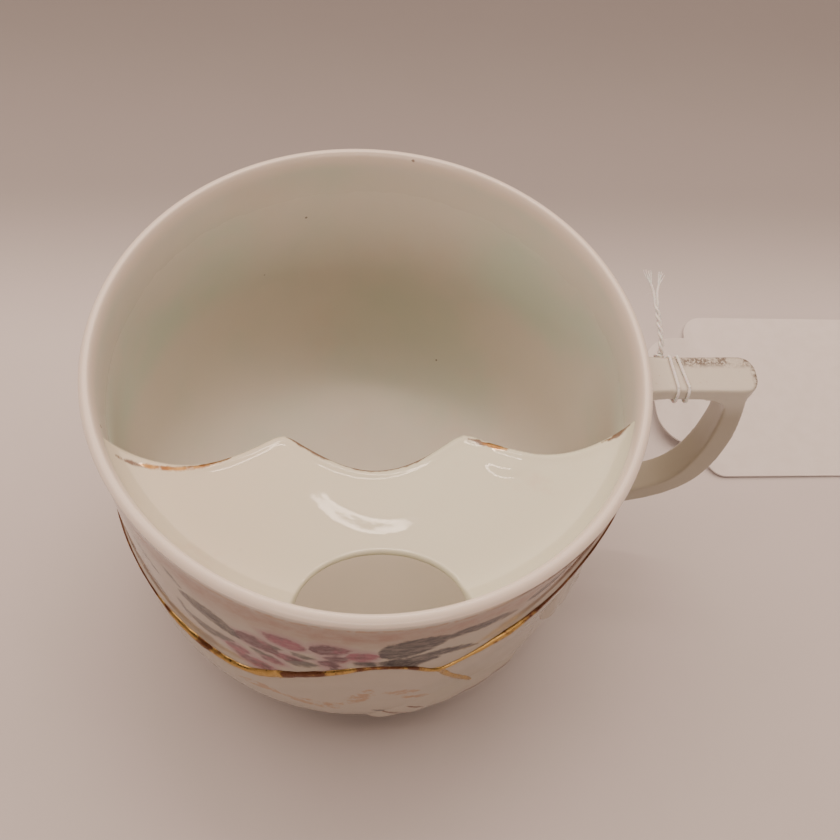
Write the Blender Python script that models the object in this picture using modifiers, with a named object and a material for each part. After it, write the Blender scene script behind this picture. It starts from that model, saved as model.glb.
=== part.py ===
"""Porcelain moustache cup with a thumb-rest handle, relief ornament and a strung paper tag.

Metres, +Z up. The origin is on the table under the middle of the cup and handle together.
The drinking side faces -Y and the handle points along +X.
"""

import math

import bmesh
import bpy
from mathutils import Matrix, Vector

GAP = 0.0003  # clearance left between neighbouring pieces

# Cup body
RIM_RADIUS = 0.046
HEIGHT = 0.069
LIP_RADIUS = 0.0013
NECK_RADIUS = 0.0455
NECK_HEIGHT = 0.062
BELLY_RADIUS = 0.0448
BELLY_HEIGHT = 0.026
FOOT_RADIUS = 0.0335
FOOT_INNER_RADIUS = 0.0300
FOOT_HEIGHT = 0.0022
FOOT_SLOPE = 0.0005
BOWL_RADIUS = 0.0424
BOWL_TURN_HEIGHT = 0.032
BOWL_FLOOR_HEIGHT = 0.006
BOWL_WALL_HEIGHTS = (0.045, 0.057)
OUTER_ROUNDNESS = 2.3
INNER_ROUNDNESS = 3.4
TURN_STEPS = 60

# Moustache guard
GUARD_TOP = 0.0642
GUARD_THICKNESS = 0.0024
GUARD_RADIUS = 0.0427
GUARD_LEFT_END = -162.0  # degrees round the wall
GUARD_RIGHT_END = -14.2
PEAK = (0.0143, -0.0120)
CENTRE_SCALLOP_DEPTH = 0.0069
SIDE_SCALLOP_DEPTH = 0.0048
OPENING_HALF_WIDTH = 0.0126
OPENING_TOP = -0.0330

# Handle
HANDLE_Y = -0.0020
BAR_TOP = 0.0652
BAR_THICKNESS = 0.0038
BAR_WIDTH = 0.0078
BAR_REACH = 0.0660
STRAP_WIDTH = 0.0056
STRAP_Y = -0.0025
# The strap's centre line in x and z, and its thickness there
STRAP_LINE = (
    (0.0618, 0.0635, 0.0028),
    (0.0632, 0.0565, 0.0031),
    (0.0640, 0.0490, 0.0035),
    (0.0638, 0.0420, 0.0038),
    (0.0626, 0.0357, 0.0040),
    (0.0600, 0.0311, 0.0041),
    (0.0559, 0.0281, 0.0042),
    (0.0503, 0.0261, 0.0043),
    (0.0425, 0.0249, 0.0045),
)
HANDLE_EDGE = 0.0009
BAR_ROOT_DEPTH = 0.005  # how far the bar starts inside the rim's radius, before it is cut to the wall
WALL_SPACE_BOTTOM = 0.015
WALL_SPACE_STEP = 0.0015
WALL_SPACE_STEPS = 36

# Relief
RIBBON_RADIUS = 0.00045
RIBBON_KEYS = (
    (-150, 0.0360),
    (-137, 0.0345),
    (-126, 0.0338),
    (-116, 0.0340),
    (-104, 0.0420),
    (-92, 0.0485),
    (-84, 0.0475),
    (-77, 0.0432),
    (-70, 0.0458),
    (-62, 0.0492),
    (-50, 0.0540),
    (-38, 0.0585),
    (-18, 0.0575),
    (5, 0.0540),
    (30, 0.0450),
    (60, 0.0350),
    (90, 0.0320),
    (120, 0.0350),
    (150, 0.0400),
    (180, 0.0400),
)
BRANCH_KEYS = ((-76.2, 0.0408), (-74.5, 0.0380), (-71.5, 0.0335), (-69.0, 0.0300))
# Each leaf: name, first and last angle, lowest and highest height, arch, lean, lobes, thickness
LEAVES = (
    ("relief_leaf_base", -90, -54, 0.0110, 0.0170, 0.0070, 0.0050, 5, 0.0012),
    ("relief_leaf_side", -48, -31, 0.0310, 0.0400, 0.0040, 0.0030, 3, 0.0015),
)
LOBE_DEPTH = 0.0016

# String and tag, from the cup's axis
STRING_RADIUS = 0.00027
# Where the wrap crosses the bar's four edges: back top, front top, front bottom, back bottom, twice
WRAP_CROSSINGS = (0.05080, 0.05050, 0.0506, 0.0514, 0.0522, 0.0530, 0.0532, 0.0532)
KNOT_CENTRE = (0.0499, 0.0032, 0.0628)
KNOT_RADII = (0.0009, 0.0009, 0.0009)
TAIL_A = (
    (0.04990, 0.0043, 0.0643),
    (0.04980, 0.0085, 0.0656),
    (0.04975, 0.0125, 0.0666),
    (0.04970, 0.0154, 0.0672),
    (0.04975, 0.0184, 0.0677),
)
TAIL_B = (
    (0.05075, 0.0043, 0.0643),
    (0.05065, 0.0085, 0.0655),
    (0.05065, 0.0125, 0.0664),
    (0.05100, 0.0154, 0.0670),
    (0.05190, 0.0184, 0.0675),
)
TAG_PIVOT = (0.07375, 0.0343, 0.0032)
STRAND_SPACING = 0.0009
STRAND_LINE = (
    (0.0500, 0.0040, 0.0612),
    (0.0506, 0.0052, 0.0572),
    (0.0522, 0.0083, 0.0475),
    (0.0550, 0.0125, 0.0360),
    (0.0589, 0.0177, 0.0240),
    (0.0640, 0.0237, 0.0140),
    (0.0695, 0.0298, 0.0080),
    (0.0730, 0.0336, 0.0062),
)
TAG_LENGTH = 0.073
TAG_WIDTH = 0.0453
TAG_THICKNESS = 0.0005
TAG_END = 0.00135
TAG_TAB_WIDTH = 0.014
TAG_SHOULDER_WIDTH = 0.031
TAG_TAB_DEPTH = 0.0073
TAG_SHOULDER_START = 0.0080
TAG_SHOULDER_DEPTH = 0.0055
TAG_HOLE_CENTRE = 0.0033
TAG_HOLE_RADIUS = 0.0020
TAG_FOOT_CLEARANCE = 0.00005  # the far end's lower face stays this far above the table
HITCH_RING_RADIUS = 0.00205

# The origin sits midway between the rim's far side and the handle's tip.
CUP_X = -(BAR_REACH - RIM_RADIUS) / 2


def clear_scene():
    for obj in list(bpy.data.objects):
        bpy.data.objects.remove(obj, do_unlink=True)


def new_collection(name):
    collection = bpy.data.collections.new(name)
    bpy.context.scene.collection.children.link(collection)
    return collection


def principled(name, colour, roughness, metallic=0.0):
    material = bpy.data.materials.new(name)
    material.use_nodes = True
    shader = material.node_tree.nodes["Principled BSDF"]
    shader.inputs["Base Color"].default_value = (*colour, 1.0)
    shader.inputs["Roughness"].default_value = roughness
    shader.inputs["Metallic"].default_value = metallic
    material.diffuse_color = (*colour, 1.0)
    return material


def add_object(name, data, collection, material, parent):
    obj = bpy.data.objects.new(name, data)
    collection.objects.link(obj)
    obj.parent = parent
    if material:
        data.materials.append(material)
    return obj


def add_modifier(obj, kind, **settings):
    modifier = obj.modifiers.new(kind.title(), kind)
    for key, value in settings.items():
        setattr(modifier, key, value)
    return modifier


def smooth_path(points, per_span):
    """A Catmull-Rom curve through the points, as a list of vectors."""
    points = [Vector(p) for p in points]
    padded = [2 * points[0] - points[1], *points, 2 * points[-1] - points[-2]]
    path = []
    for i in range(1, len(padded) - 2):
        before, start, end, after = padded[i - 1 : i + 3]
        for step in range(per_span):
            t = step / per_span
            path.append(
                0.5
                * (
                    2 * start
                    + (end - before) * t
                    + (2 * before - 5 * start + 4 * end - after) * t**2
                    + (3 * start - before - 3 * end + after) * t**3
                )
            )
    return [*path, points[-1]]


def arc(centre, radii, start, end, steps):
    """Points of an elliptic arc in degrees, both ends included."""
    points = []
    for i in range(steps + 1):
        angle = math.radians(start + (end - start) * i / steps)
        points.append((centre[0] + radii[0] * math.cos(angle), centre[1] + radii[1] * math.sin(angle)))
    return points


def without_repeats(points):
    kept = []
    for point in points:
        if not kept or (Vector(point) - Vector(kept[-1])).length > 1e-6:
            kept.append(point)
    if (Vector(kept[0]) - Vector(kept[-1])).length < 1e-6:
        kept.pop()
    return kept


def outline_curve(name, loops, half_thickness):
    """A filled flat curve, extruded both ways from its own XY plane."""
    curve = bpy.data.curves.new(name, "CURVE")
    curve.dimensions = "2D"
    curve.fill_mode = "BOTH"
    curve.extrude = half_thickness
    for loop in loops:
        loop = without_repeats(loop)
        spline = curve.splines.new("POLY")
        spline.points.add(len(loop) - 1)
        for point, (x, y) in zip(spline.points, loop):
            point.co = (x, y, 0.0, 1.0)
        spline.use_cyclic_u = True
    return curve


def tube_curve(name, path, radius, cyclic=False, sides=2):
    """A round tube along a list of points."""
    curve = bpy.data.curves.new(name, "CURVE")
    curve.dimensions = "3D"
    curve.bevel_depth = radius
    curve.bevel_resolution = sides
    curve.use_fill_caps = not cyclic
    spline = curve.splines.new("POLY")
    spline.points.add(len(path) - 1)
    for point, place in zip(spline.points, path):
        point.co = (*place, 1.0)
    spline.use_cyclic_u = cyclic
    return curve


def mesh_from_curve(name, curve, matrix, collection, parent):
    """Turns an extruded curve into a closed mesh object that a Boolean can use."""
    holder = bpy.data.objects.new(name + "_curve", curve)
    collection.objects.link(holder)
    holder.matrix_world = matrix
    bpy.context.view_layer.update()
    graph = bpy.context.evaluated_depsgraph_get()
    mesh = bpy.data.meshes.new_from_object(holder.evaluated_get(graph))
    mesh.transform(holder.matrix_world)
    bpy.data.objects.remove(holder, do_unlink=True)
    solid = bmesh.new()
    solid.from_mesh(mesh)
    bmesh.ops.remove_doubles(solid, verts=solid.verts, dist=1e-6)
    bmesh.ops.recalc_face_normals(solid, faces=solid.faces)
    solid.to_mesh(mesh)
    solid.free()
    mesh.name = name
    obj = bpy.data.objects.new(name, mesh)
    collection.objects.link(obj)
    obj.parent = parent
    return obj


def make_cutter(obj):
    obj.hide_render = True
    obj.display_type = "WIRE"


def outer_radius(height):
    """The body's outer radius: a rounded base under a nearly straight, slightly flaring wall."""
    if height >= BELLY_HEIGHT:
        rise = min((height - BELLY_HEIGHT) / (NECK_HEIGHT - BELLY_HEIGHT), 1.0)
        return BELLY_RADIUS + (NECK_RADIUS - BELLY_RADIUS) * rise
    drop = (BELLY_HEIGHT - height) / (BELLY_HEIGHT - FOOT_HEIGHT)
    share = (1.0 - min(drop, 1.0) ** OUTER_ROUNDNESS) ** (1.0 / OUTER_ROUNDNESS)
    return FOOT_RADIUS + (BELLY_RADIUS - FOOT_RADIUS) * share


def inner_radius(height):
    if height >= BOWL_TURN_HEIGHT:
        rise = (height - BOWL_TURN_HEIGHT) / (HEIGHT - LIP_RADIUS - BOWL_TURN_HEIGHT)
        return BOWL_RADIUS + (RIM_RADIUS - 2 * LIP_RADIUS - BOWL_RADIUS) * rise
    drop = (BOWL_TURN_HEIGHT - height) / (BOWL_TURN_HEIGHT - BOWL_FLOOR_HEIGHT)
    return BOWL_RADIUS * (1.0 - min(drop, 1.0) ** INNER_ROUNDNESS) ** (1.0 / INNER_ROUNDNESS)


def lowered(top, bottom, steps):
    """Heights from top to bottom, closer together near the bottom."""
    return [bottom + (top - bottom) * (1.0 - math.sin(math.pi / 2 * i / steps)) for i in range(1, steps)]


def body_profile():
    """(radius, height) from the middle of the bowl's floor, over the lip, to under the foot."""
    bowl = [(0.0, BOWL_FLOOR_HEIGHT)]
    for height in reversed(lowered(BOWL_TURN_HEIGHT, BOWL_FLOOR_HEIGHT, 9)):
        bowl.append((inner_radius(height), height))
    for height in (BOWL_TURN_HEIGHT, *BOWL_WALL_HEIGHTS):
        bowl.append((inner_radius(height), height))
    lip = arc((RIM_RADIUS - LIP_RADIUS, HEIGHT - LIP_RADIUS), (LIP_RADIUS, LIP_RADIUS), 180, 0, 6)
    middle = (NECK_HEIGHT + BELLY_HEIGHT) / 2
    wall = [(outer_radius(height), height) for height in (NECK_HEIGHT, middle, BELLY_HEIGHT)]
    wall += [(outer_radius(height), height) for height in lowered(BELLY_HEIGHT, FOOT_HEIGHT, 9)]
    foot = [
        (FOOT_RADIUS, FOOT_HEIGHT),
        (FOOT_RADIUS - FOOT_SLOPE, 0.0),
        (FOOT_INNER_RADIUS, 0.0),
        (FOOT_INNER_RADIUS - FOOT_SLOPE, FOOT_HEIGHT),
        (0.0, FOOT_HEIGHT),
    ]
    return bowl + lip + wall + foot


def turned_object(name, profile, collection, material, parent):
    """A profile in the XZ plane turned about Z."""
    mesh = bpy.data.meshes.new(name)
    edges = [(i, i + 1) for i in range(len(profile) - 1)]
    mesh.from_pydata([(x, 0.0, z) for x, z in profile], edges, [])
    obj = add_object(name, mesh, collection, material, parent)
    add_modifier(
        obj,
        "SCREW",
        steps=TURN_STEPS,
        render_steps=TURN_STEPS,
        use_merge_vertices=True,
        merge_threshold=1e-6,
        use_smooth_shade=True,
    )
    return obj


def on_wall(degrees, height, proud):
    """A point that stands proud of the outer wall, along the wall's own normal."""
    step = 1e-5
    slope = (outer_radius(height + step) - outer_radius(height - step)) / (2 * step)
    length = math.hypot(1.0, slope)
    radius = outer_radius(height) + proud / length
    angle = math.radians(degrees)
    return Vector((radius * math.cos(angle), radius * math.sin(angle), height - proud * slope / length))


def scallop(start, end, depth, steps):
    """A shallow curve from start to end that hangs below the straight line between them."""
    points = []
    for i in range(steps + 1):
        t = i / steps
        x = start[0] + (end[0] - start[0]) * t
        y = start[1] + (end[1] - start[1]) * t - depth * math.sin(math.pi * t)
        points.append((x, y))
    return points


def guard_outline():
    """The ledge seen from above: three scallops and two peaks, the wall and the half-moon opening."""
    wall = (GUARD_RADIUS, GUARD_RADIUS)
    left_end = arc((0, 0), wall, GUARD_LEFT_END, GUARD_LEFT_END, 1)[0]
    right_end = arc((0, 0), wall, GUARD_RIGHT_END, GUARD_RIGHT_END, 1)[0]
    left_peak = (-PEAK[0], PEAK[1])
    edge = scallop(left_end, left_peak, SIDE_SCALLOP_DEPTH, 10)
    edge += scallop(left_peak, PEAK, CENTRE_SCALLOP_DEPTH, 12)
    edge += scallop(PEAK, right_end, SIDE_SCALLOP_DEPTH, 10)
    corner = math.degrees(math.acos(OPENING_HALF_WIDTH / GUARD_RADIUS))
    right_wall = arc((0, 0), wall, GUARD_RIGHT_END, -corner, 10)
    low = -GUARD_RADIUS * math.sin(math.radians(corner))
    opening = arc((0, low), (OPENING_HALF_WIDTH, OPENING_TOP - low), 0, 180, 14)
    left_wall = arc((0, 0), wall, corner - 180, GUARD_LEFT_END, 10)
    return edge + right_wall + opening + left_wall


def make_guard(collection, material, parent):
    curve = outline_curve("moustache_guard", [guard_outline()], GUARD_THICKNESS / 2)
    guard = add_object("moustache_guard", curve, collection, material, parent)
    guard.location = (0.0, 0.0, GUARD_TOP - GUARD_THICKNESS / 2)
    return guard


def strap_outline():
    """The strap's side view: a band along its centre line that thickens towards the wall."""
    line = smooth_path(STRAP_LINE, 3)
    outer, inner = [], []
    for i, point in enumerate(line):
        along = line[min(i + 1, len(line) - 1)] - line[max(i - 1, 0)]
        side = Vector((-along.y, along.x, 0.0)).normalized() * point.z / 2
        outer.append((point.x + side.x, point.y + side.y))
        inner.append((point.x - side.x, point.y - side.y))
    return outer + inner[::-1]


def make_handle(collection, cutters, material, parent):
    """The thumb-rest bar and the strap under it, in one piece, shaped to the wall where they meet it."""
    half = BAR_WIDTH / 2
    root = RIM_RADIUS - BAR_ROOT_DEPTH
    bar_loop = [(root, -half), *arc((BAR_REACH - half, 0), (half, half), -90, 90, 12), (root, half)]
    bar_curve = outline_curve("bar", [bar_loop], BAR_THICKNESS / 2)
    bar_place = Matrix.Translation((0, HANDLE_Y, BAR_TOP - BAR_THICKNESS / 2))
    handle = mesh_from_curve("handle", bar_curve, bar_place, collection, parent)
    handle.data.materials.append(material)

    strap_curve = outline_curve("strap", [strap_outline()], STRAP_WIDTH / 2)
    strap_place = Matrix.Translation((0, STRAP_Y, 0)) @ Matrix.Rotation(math.radians(90), 4, "X")
    strap = mesh_from_curve("strap_joiner", strap_curve, strap_place, cutters, parent)
    make_cutter(strap)

    heights = [WALL_SPACE_BOTTOM + WALL_SPACE_STEP * i for i in range(WALL_SPACE_STEPS)]
    wall = [(outer_radius(height) + GAP, height) for height in reversed(heights)]
    space = [(0.0, wall[0][1]), *wall, (0.0, wall[-1][1])]
    clearance = turned_object("handle_wall_space", space, cutters, None, parent)
    make_cutter(clearance)

    edges = {"limit_method": "ANGLE", "angle_limit": math.radians(40)}
    for piece in (strap, handle):
        add_modifier(piece, "BEVEL", width=HANDLE_EDGE, segments=2, **edges)
    add_modifier(handle, "BOOLEAN", operation="UNION", object=strap)
    add_modifier(handle, "BOOLEAN", operation="DIFFERENCE", object=clearance)
    return handle


def make_ribbon(collection, material, parent):
    """The gilt ridge: a wave that runs right round the wall."""
    wrapped = [RIBBON_KEYS[-1], *RIBBON_KEYS, *RIBBON_KEYS[:2]]
    turns = (-360, *([0] * len(RIBBON_KEYS)), 360, 360)
    keys = [Vector((angle + turn, height * 1000, 0)) for (angle, height), turn in zip(wrapped, turns)]
    spans = smooth_path(keys, 6)
    first, last = RIBBON_KEYS[0][0], RIBBON_KEYS[0][0] + 360
    places = [p for p in spans if first - 1e-6 <= p.x < last - 1e-6]
    path = [on_wall(p.x, p.y / 1000, GAP + RIBBON_RADIUS) for p in places]
    curve = tube_curve("relief_ribbon", path, RIBBON_RADIUS, cyclic=True, sides=1)
    return add_object("relief_ribbon", curve, collection, material, parent)


def make_branch(collection, material, parent):
    places = smooth_path([(angle, height * 1000, 0) for angle, height in BRANCH_KEYS], 3)
    path = [on_wall(p.x, p.y / 1000, GAP + RIBBON_RADIUS) for p in places]
    curve = tube_curve("relief_ribbon_branch", path, RIBBON_RADIUS, sides=1)
    return add_object("relief_ribbon_branch", curve, collection, material, parent)


def make_leaf(leaf, collection, material, parent):
    """A lobed leaf in relief, as a thickened patch that follows the wall."""
    name, start, end, lowest, highest, arch, lean, lobes, thickness = leaf
    columns, rows = 6 * lobes, 5
    mesh = bpy.data.meshes.new(name)
    grid = bmesh.new()
    points = []
    for i in range(columns + 1):
        t = i / columns
        angle = start + (end - start) * t
        lobe = LOBE_DEPTH * abs(math.sin(math.pi * lobes * t))
        low = lowest + lean * t - lobe / 2
        high = highest + lean * t + arch * math.sin(math.pi * t) + lobe
        column = [on_wall(angle, low + (high - low) * j / rows, GAP) for j in range(rows + 1)]
        points.append([grid.verts.new(p) for p in column])
    for i in range(columns):
        for j in range(rows):
            grid.faces.new((points[i][j], points[i + 1][j], points[i + 1][j + 1], points[i][j + 1]))
    grid.to_mesh(mesh)
    grid.free()
    obj = add_object(name, mesh, collection, material, parent)
    add_modifier(obj, "SOLIDIFY", thickness=thickness, offset=1.0)


def wrap_path():
    """Two turns of string round the thumb-rest bar, as rounded rectangles that advance along it."""
    reach = STRING_RADIUS + GAP
    half_y = BAR_WIDTH / 2 + reach
    half_z = BAR_THICKNESS / 2 + reach
    corner = HANDLE_EDGE + reach
    middle = BAR_TOP - BAR_THICKNESS / 2
    corners = ((1, 1, 0), (-1, 1, 90), (-1, -1, 180), (1, -1, 270)) * 2
    path = []
    for i, (side_y, side_z, start) in enumerate(corners):
        centre = (side_y * (half_y - corner), side_z * (half_z - corner))
        for y, z in arc(centre, (corner, corner), start, start + 90, 3):
            path.append((WRAP_CROSSINGS[i], HANDLE_Y + y, middle + z))
    return path


def make_string(collection, material, parent):
    """The string's pieces on the handle: two turns, the knot and its two free ends."""
    wrap = tube_curve("string_wrap", wrap_path(), STRING_RADIUS)
    add_object("string_wrap", wrap, collection, material, parent)
    mesh = bpy.data.meshes.new("string_knot")
    ball = bmesh.new()
    bmesh.ops.create_uvsphere(ball, u_segments=16, v_segments=10, radius=1.0)
    bmesh.ops.scale(ball, vec=KNOT_RADII, verts=ball.verts)
    ball.to_mesh(mesh)
    ball.free()
    knot = add_object("string_knot", mesh, collection, material, parent)
    knot.location = KNOT_CENTRE
    for name, points in (("string_end_a", TAIL_A), ("string_end_b", TAIL_B)):
        curve = tube_curve(name, smooth_path(points, 4), STRING_RADIUS)
        add_object(name, curve, collection, material, parent)


def make_strands(collection, material, parent):
    """The two strands that run from the knot down to the loop in the tag."""
    for name, side in (("tag_string_a", -0.5), ("tag_string_b", 0.5)):
        path = []
        places = smooth_path(STRAND_LINE, 5)
        for i, place in enumerate(places):
            along = (places[min(i + 1, len(places) - 1)] - places[max(i - 1, 0)]).normalized()
            across = along.cross(Vector((0, 0, 1))).normalized()
            path.append(place + across * side * STRAND_SPACING)
        add_object(name, tube_curve(name, path, STRING_RADIUS), collection, material, parent)


def tag_outline():
    """The tag from its tab end: a rounded tab, a rounded shoulder on each side and a square far end."""
    end = -TAG_END
    tab, shoulder, edge = TAG_TAB_WIDTH / 2, TAG_SHOULDER_WIDTH / 2, TAG_WIDTH / 2
    upper = arc((end + TAG_TAB_DEPTH, tab), (TAG_TAB_DEPTH, shoulder - tab), 180, 90, 6)
    centre = (TAG_SHOULDER_START + TAG_SHOULDER_DEPTH, shoulder)
    upper += arc(centre, (TAG_SHOULDER_DEPTH, edge - shoulder), 180, 90, 6)
    upper.append((TAG_LENGTH - TAG_END, edge))
    return upper + [(x, -y) for x, y in reversed(upper)]


def make_tag(collection, string_material, paper_material, parent):
    """The loop through the tag's hole, and the tag, both centred on the pivot that the loop makes."""
    pivot = bpy.data.objects.new("tag_pivot", None)
    collection.objects.link(pivot)
    pivot.parent = parent
    pivot.location = TAG_PIVOT
    ring = arc((0, 0), (HITCH_RING_RADIUS,) * 2, 0, 360, 24)[:-1]
    curve = tube_curve("tag_hitch", [(x, 0.0, z) for x, z in ring], STRING_RADIUS, cyclic=True)
    add_object("tag_hitch", curve, collection, string_material, pivot)
    hole = arc((TAG_HOLE_CENTRE, 0), (TAG_HOLE_RADIUS,) * 2, 0, 360, 24)
    curve = outline_curve("price_tag", [tag_outline(), hole], TAG_THICKNESS / 2)
    tag = add_object("price_tag", curve, collection, paper_material, pivot)
    drop = TAG_PIVOT[2] - TAG_THICKNESS / 2 - TAG_FOOT_CLEARANCE
    slope = math.asin(drop / (TAG_LENGTH - TAG_END))
    tag.rotation_euler = (0.0, slope, 0.0)


def main():
    clear_scene()
    parts = new_collection("moustache_cup")
    cutters = new_collection("cutters")
    cutters.hide_render = True
    porcelain = principled("porcelain", (0.80, 0.79, 0.70), 0.15)
    gilt = principled("gilt", (0.72, 0.50, 0.18), 0.30, 0.8)
    cotton = principled("cotton", (0.85, 0.84, 0.82), 0.90)
    paper = principled("paper", (0.88, 0.87, 0.88), 0.85)

    cup_axis = bpy.data.objects.new("cup_axis", None)
    parts.objects.link(cup_axis)
    cup_axis.location = (CUP_X, 0.0, 0.0)

    turned_object("cup_body", body_profile(), parts, porcelain, cup_axis)
    make_guard(parts, porcelain, cup_axis)
    make_handle(parts, cutters, porcelain, cup_axis)
    make_ribbon(parts, gilt, cup_axis)
    make_branch(parts, gilt, cup_axis)
    for leaf in LEAVES:
        make_leaf(leaf, parts, porcelain, cup_axis)
    make_string(parts, cotton, cup_axis)
    make_strands(parts, cotton, cup_axis)
    make_tag(parts, cotton, paper, cup_axis)


main()
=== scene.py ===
"""Looks of the moustache cup: glazed porcelain, worn gilt, painted flowers, cotton thread and card.

Geometry is worked out in millimetres from the cup's own axis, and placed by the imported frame.
"""
import math
import random

import bmesh
import bpy
import numpy as np
from mathutils import Matrix, Vector

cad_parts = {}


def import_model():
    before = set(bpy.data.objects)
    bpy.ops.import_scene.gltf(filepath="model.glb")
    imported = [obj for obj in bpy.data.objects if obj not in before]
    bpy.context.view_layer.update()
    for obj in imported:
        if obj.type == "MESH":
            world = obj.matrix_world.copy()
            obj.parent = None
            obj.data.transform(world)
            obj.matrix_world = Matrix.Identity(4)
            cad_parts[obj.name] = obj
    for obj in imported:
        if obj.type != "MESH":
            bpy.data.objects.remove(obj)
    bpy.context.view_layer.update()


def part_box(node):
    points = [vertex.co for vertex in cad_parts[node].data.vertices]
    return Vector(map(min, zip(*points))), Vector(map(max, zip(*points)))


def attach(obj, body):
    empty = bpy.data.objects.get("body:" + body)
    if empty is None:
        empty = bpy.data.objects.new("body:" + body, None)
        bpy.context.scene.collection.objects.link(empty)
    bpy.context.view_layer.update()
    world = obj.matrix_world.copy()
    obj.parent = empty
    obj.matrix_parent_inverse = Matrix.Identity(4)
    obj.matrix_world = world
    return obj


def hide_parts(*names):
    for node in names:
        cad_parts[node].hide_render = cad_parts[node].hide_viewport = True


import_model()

MM = 0.001
UP = Vector((0, 0, 1))

body_low, body_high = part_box("cup_body")
guard_low, guard_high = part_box("moustache_guard")
handle_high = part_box("handle")[1]
AXIS_X = (body_low.x + body_high.x) / 2

# Cup, in millimetres
RIM_RADIUS = (body_high.x - body_low.x) / 2 / MM
HEIGHT = body_high.z / MM
LIP_RADIUS = 1.3
NECK_RADIUS = RIM_RADIUS - 0.5
NECK_HEIGHT = 62.0
BELLY_RADIUS = 44.8
BELLY_HEIGHT = 26.0
FOOT_RADIUS = 33.5
FOOT_INNER_RADIUS = 30.0
FOOT_HEIGHT = 2.2
UNDERSIDE_MIDDLE = FOOT_HEIGHT + 0.3
BOWL_RADIUS = 42.4
BOWL_TURN_HEIGHT = 32.0
BOWL_FLOOR_HEIGHT = 6.0
BELLY_FOOT = 10.0  # below this the wall turns in steeply to the foot
OUTER_ROUNDNESS = 2.3
INNER_ROUNDNESS = 3.4
LIP_FLARE_START = 60.0
LIP_FLARE_POWER = 2.2
LIP_CREST = 1.35  # how far the lip's highest line is inside the rim

# Moustache guard
GUARD_TOP = guard_high.z / MM
GUARD_THICKNESS = (guard_high.z - guard_low.z) / MM
GUARD_LEFT_END = -162.0
GUARD_RIGHT_END = -14.2
PEAK = (14.3, -12.0)
CENTRE_SCALLOP_DEPTH = 6.9
SIDE_SCALLOP_DEPTH = 4.8
OPENING_HALF_WIDTH = 12.6
OPENING_TOP = -33.0

# Handle
HANDLE_Y = -1.7
BAR_TOP = handle_high.z / MM
BAR_THICKNESS = 3.4
BAR_WIDTH = 7.2
BAR_REACH = (handle_high.x - AXIS_X) / MM - 0.2
STRAP_Y = -2.5
STRAP_WIDTH = 5.6
STRAP_LINE = (
    (61.8, 63.5, 2.8),
    (63.2, 56.5, 3.1),
    (64.0, 49.0, 3.5),
    (63.8, 42.0, 3.8),
    (62.6, 35.7, 4.0),
    (60.0, 31.1, 4.1),
    (55.9, 28.1, 4.2),
    (50.3, 26.1, 4.3),
    (42.5, 24.9, 4.5),
)

# Camera
CAMERA_AZIMUTH = -12.2
CAMERA_ELEVATION = 58.55
CAMERA_ROLL = 10.31
CAMERA_DISTANCE = 160.97
CAMERA_OFFSET = (7.52, -11.13)
CAMERA_LENS = 42.857


# ---------------------------------------------------------------- helpers


def world(point):
    """A point in millimetres from the cup's axis, in the frame's metres."""
    return Vector((AXIS_X + point[0] * MM, point[1] * MM, point[2] * MM))


def link(obj):
    bpy.context.scene.collection.objects.link(obj)
    return obj


def mesh_object(name, points, faces, fields=None):
    """A smooth mesh from points in millimetres, with one number a point for each named field."""
    mesh = bpy.data.meshes.new(name)
    placed = np.asarray(points, float) * MM
    placed[:, 0] += AXIS_X
    mesh.from_pydata(placed.tolist(), [], faces)
    for key, values in (fields or {}).items():
        layer = mesh.attributes.new(key, "FLOAT", "POINT")
        layer.data.foreach_set("value", np.asarray(values, np.float32))
    mesh.shade_smooth()
    return link(bpy.data.objects.new(name, mesh))


def finish_piece(obj, material, body, slot, *nodes):
    """Dresses a piece, ties it to its body and lets it stand for its CAD nodes."""
    obj.data.materials.append(material)
    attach(obj, body)
    if nodes:
        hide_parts(*nodes)
    return obj


def smooth_path(points, per_span):
    """A Catmull-Rom curve through the points."""
    keys = [Vector(p) for p in points]
    keys = [2 * keys[0] - keys[1], *keys, 2 * keys[-1] - keys[-2]]
    path = []
    for i in range(1, len(keys) - 2):
        before, start, end, after = keys[i - 1 : i + 3]
        for step in range(per_span):
            t = step / per_span
            bend = (2 * before - 5 * start + 4 * end - after) * t**2
            twist = (3 * start - before - 3 * end + after) * t**3
            path.append(0.5 * (2 * start + (end - before) * t + bend + twist))
    return [*path, keys[-2]]


def grid_faces(rows, columns, wrap_columns=False):
    """Quads of a grid of points stored row by row."""
    faces = []
    last = columns if wrap_columns else columns - 1
    for start in range(0, (rows - 1) * columns, columns):
        for c in range(last):
            d = (c + 1) % columns
            faces.append((start + c, start + d, start + columns + d, start + columns + c))
    return faces


def tube_faces(rings, sides, closed=False, turn=0):
    """Faces of a tube, capped at its ends, or closed on itself and turned by some sides to meet."""
    faces = grid_faces(rings, sides, wrap_columns=True)
    last = (rings - 1) * sides
    if not closed:
        return [*faces, tuple(range(sides))[::-1], tuple(range(last, last + sides))]
    for c in range(sides):
        d = c + 1
        faces.append((last + c, last + d % sides, (d - turn) % sides, (c - turn) % sides))
    return faces


def sheet(top, bottom, rows, columns, rim):
    """A thin closed sheet from two grids of points and the pairs of points along its rim."""
    count = len(top)
    faces = grid_faces(rows, columns)
    faces = [f[::-1] for f in faces] + [tuple(count + v for v in f) for f in faces]
    faces += [(a, b, count + b, count + a) for a, b in rim]
    return np.concatenate([top, bottom]), faces


def heading(path, i):
    """The direction of a path at its point i."""
    return (path[min(i + 1, len(path) - 1)] - path[max(i - 1, 0)]).normalized()


def ease(share):
    """A share from 0 to 1 that starts and ends gently."""
    share = np.clip(share, 0, 1)
    return share * share * (3 - 2 * share)


def bell(offset, width):
    """1 where the offset is 0, falling to nothing over about twice the width."""
    return np.exp(-((offset / width) ** 2))


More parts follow.
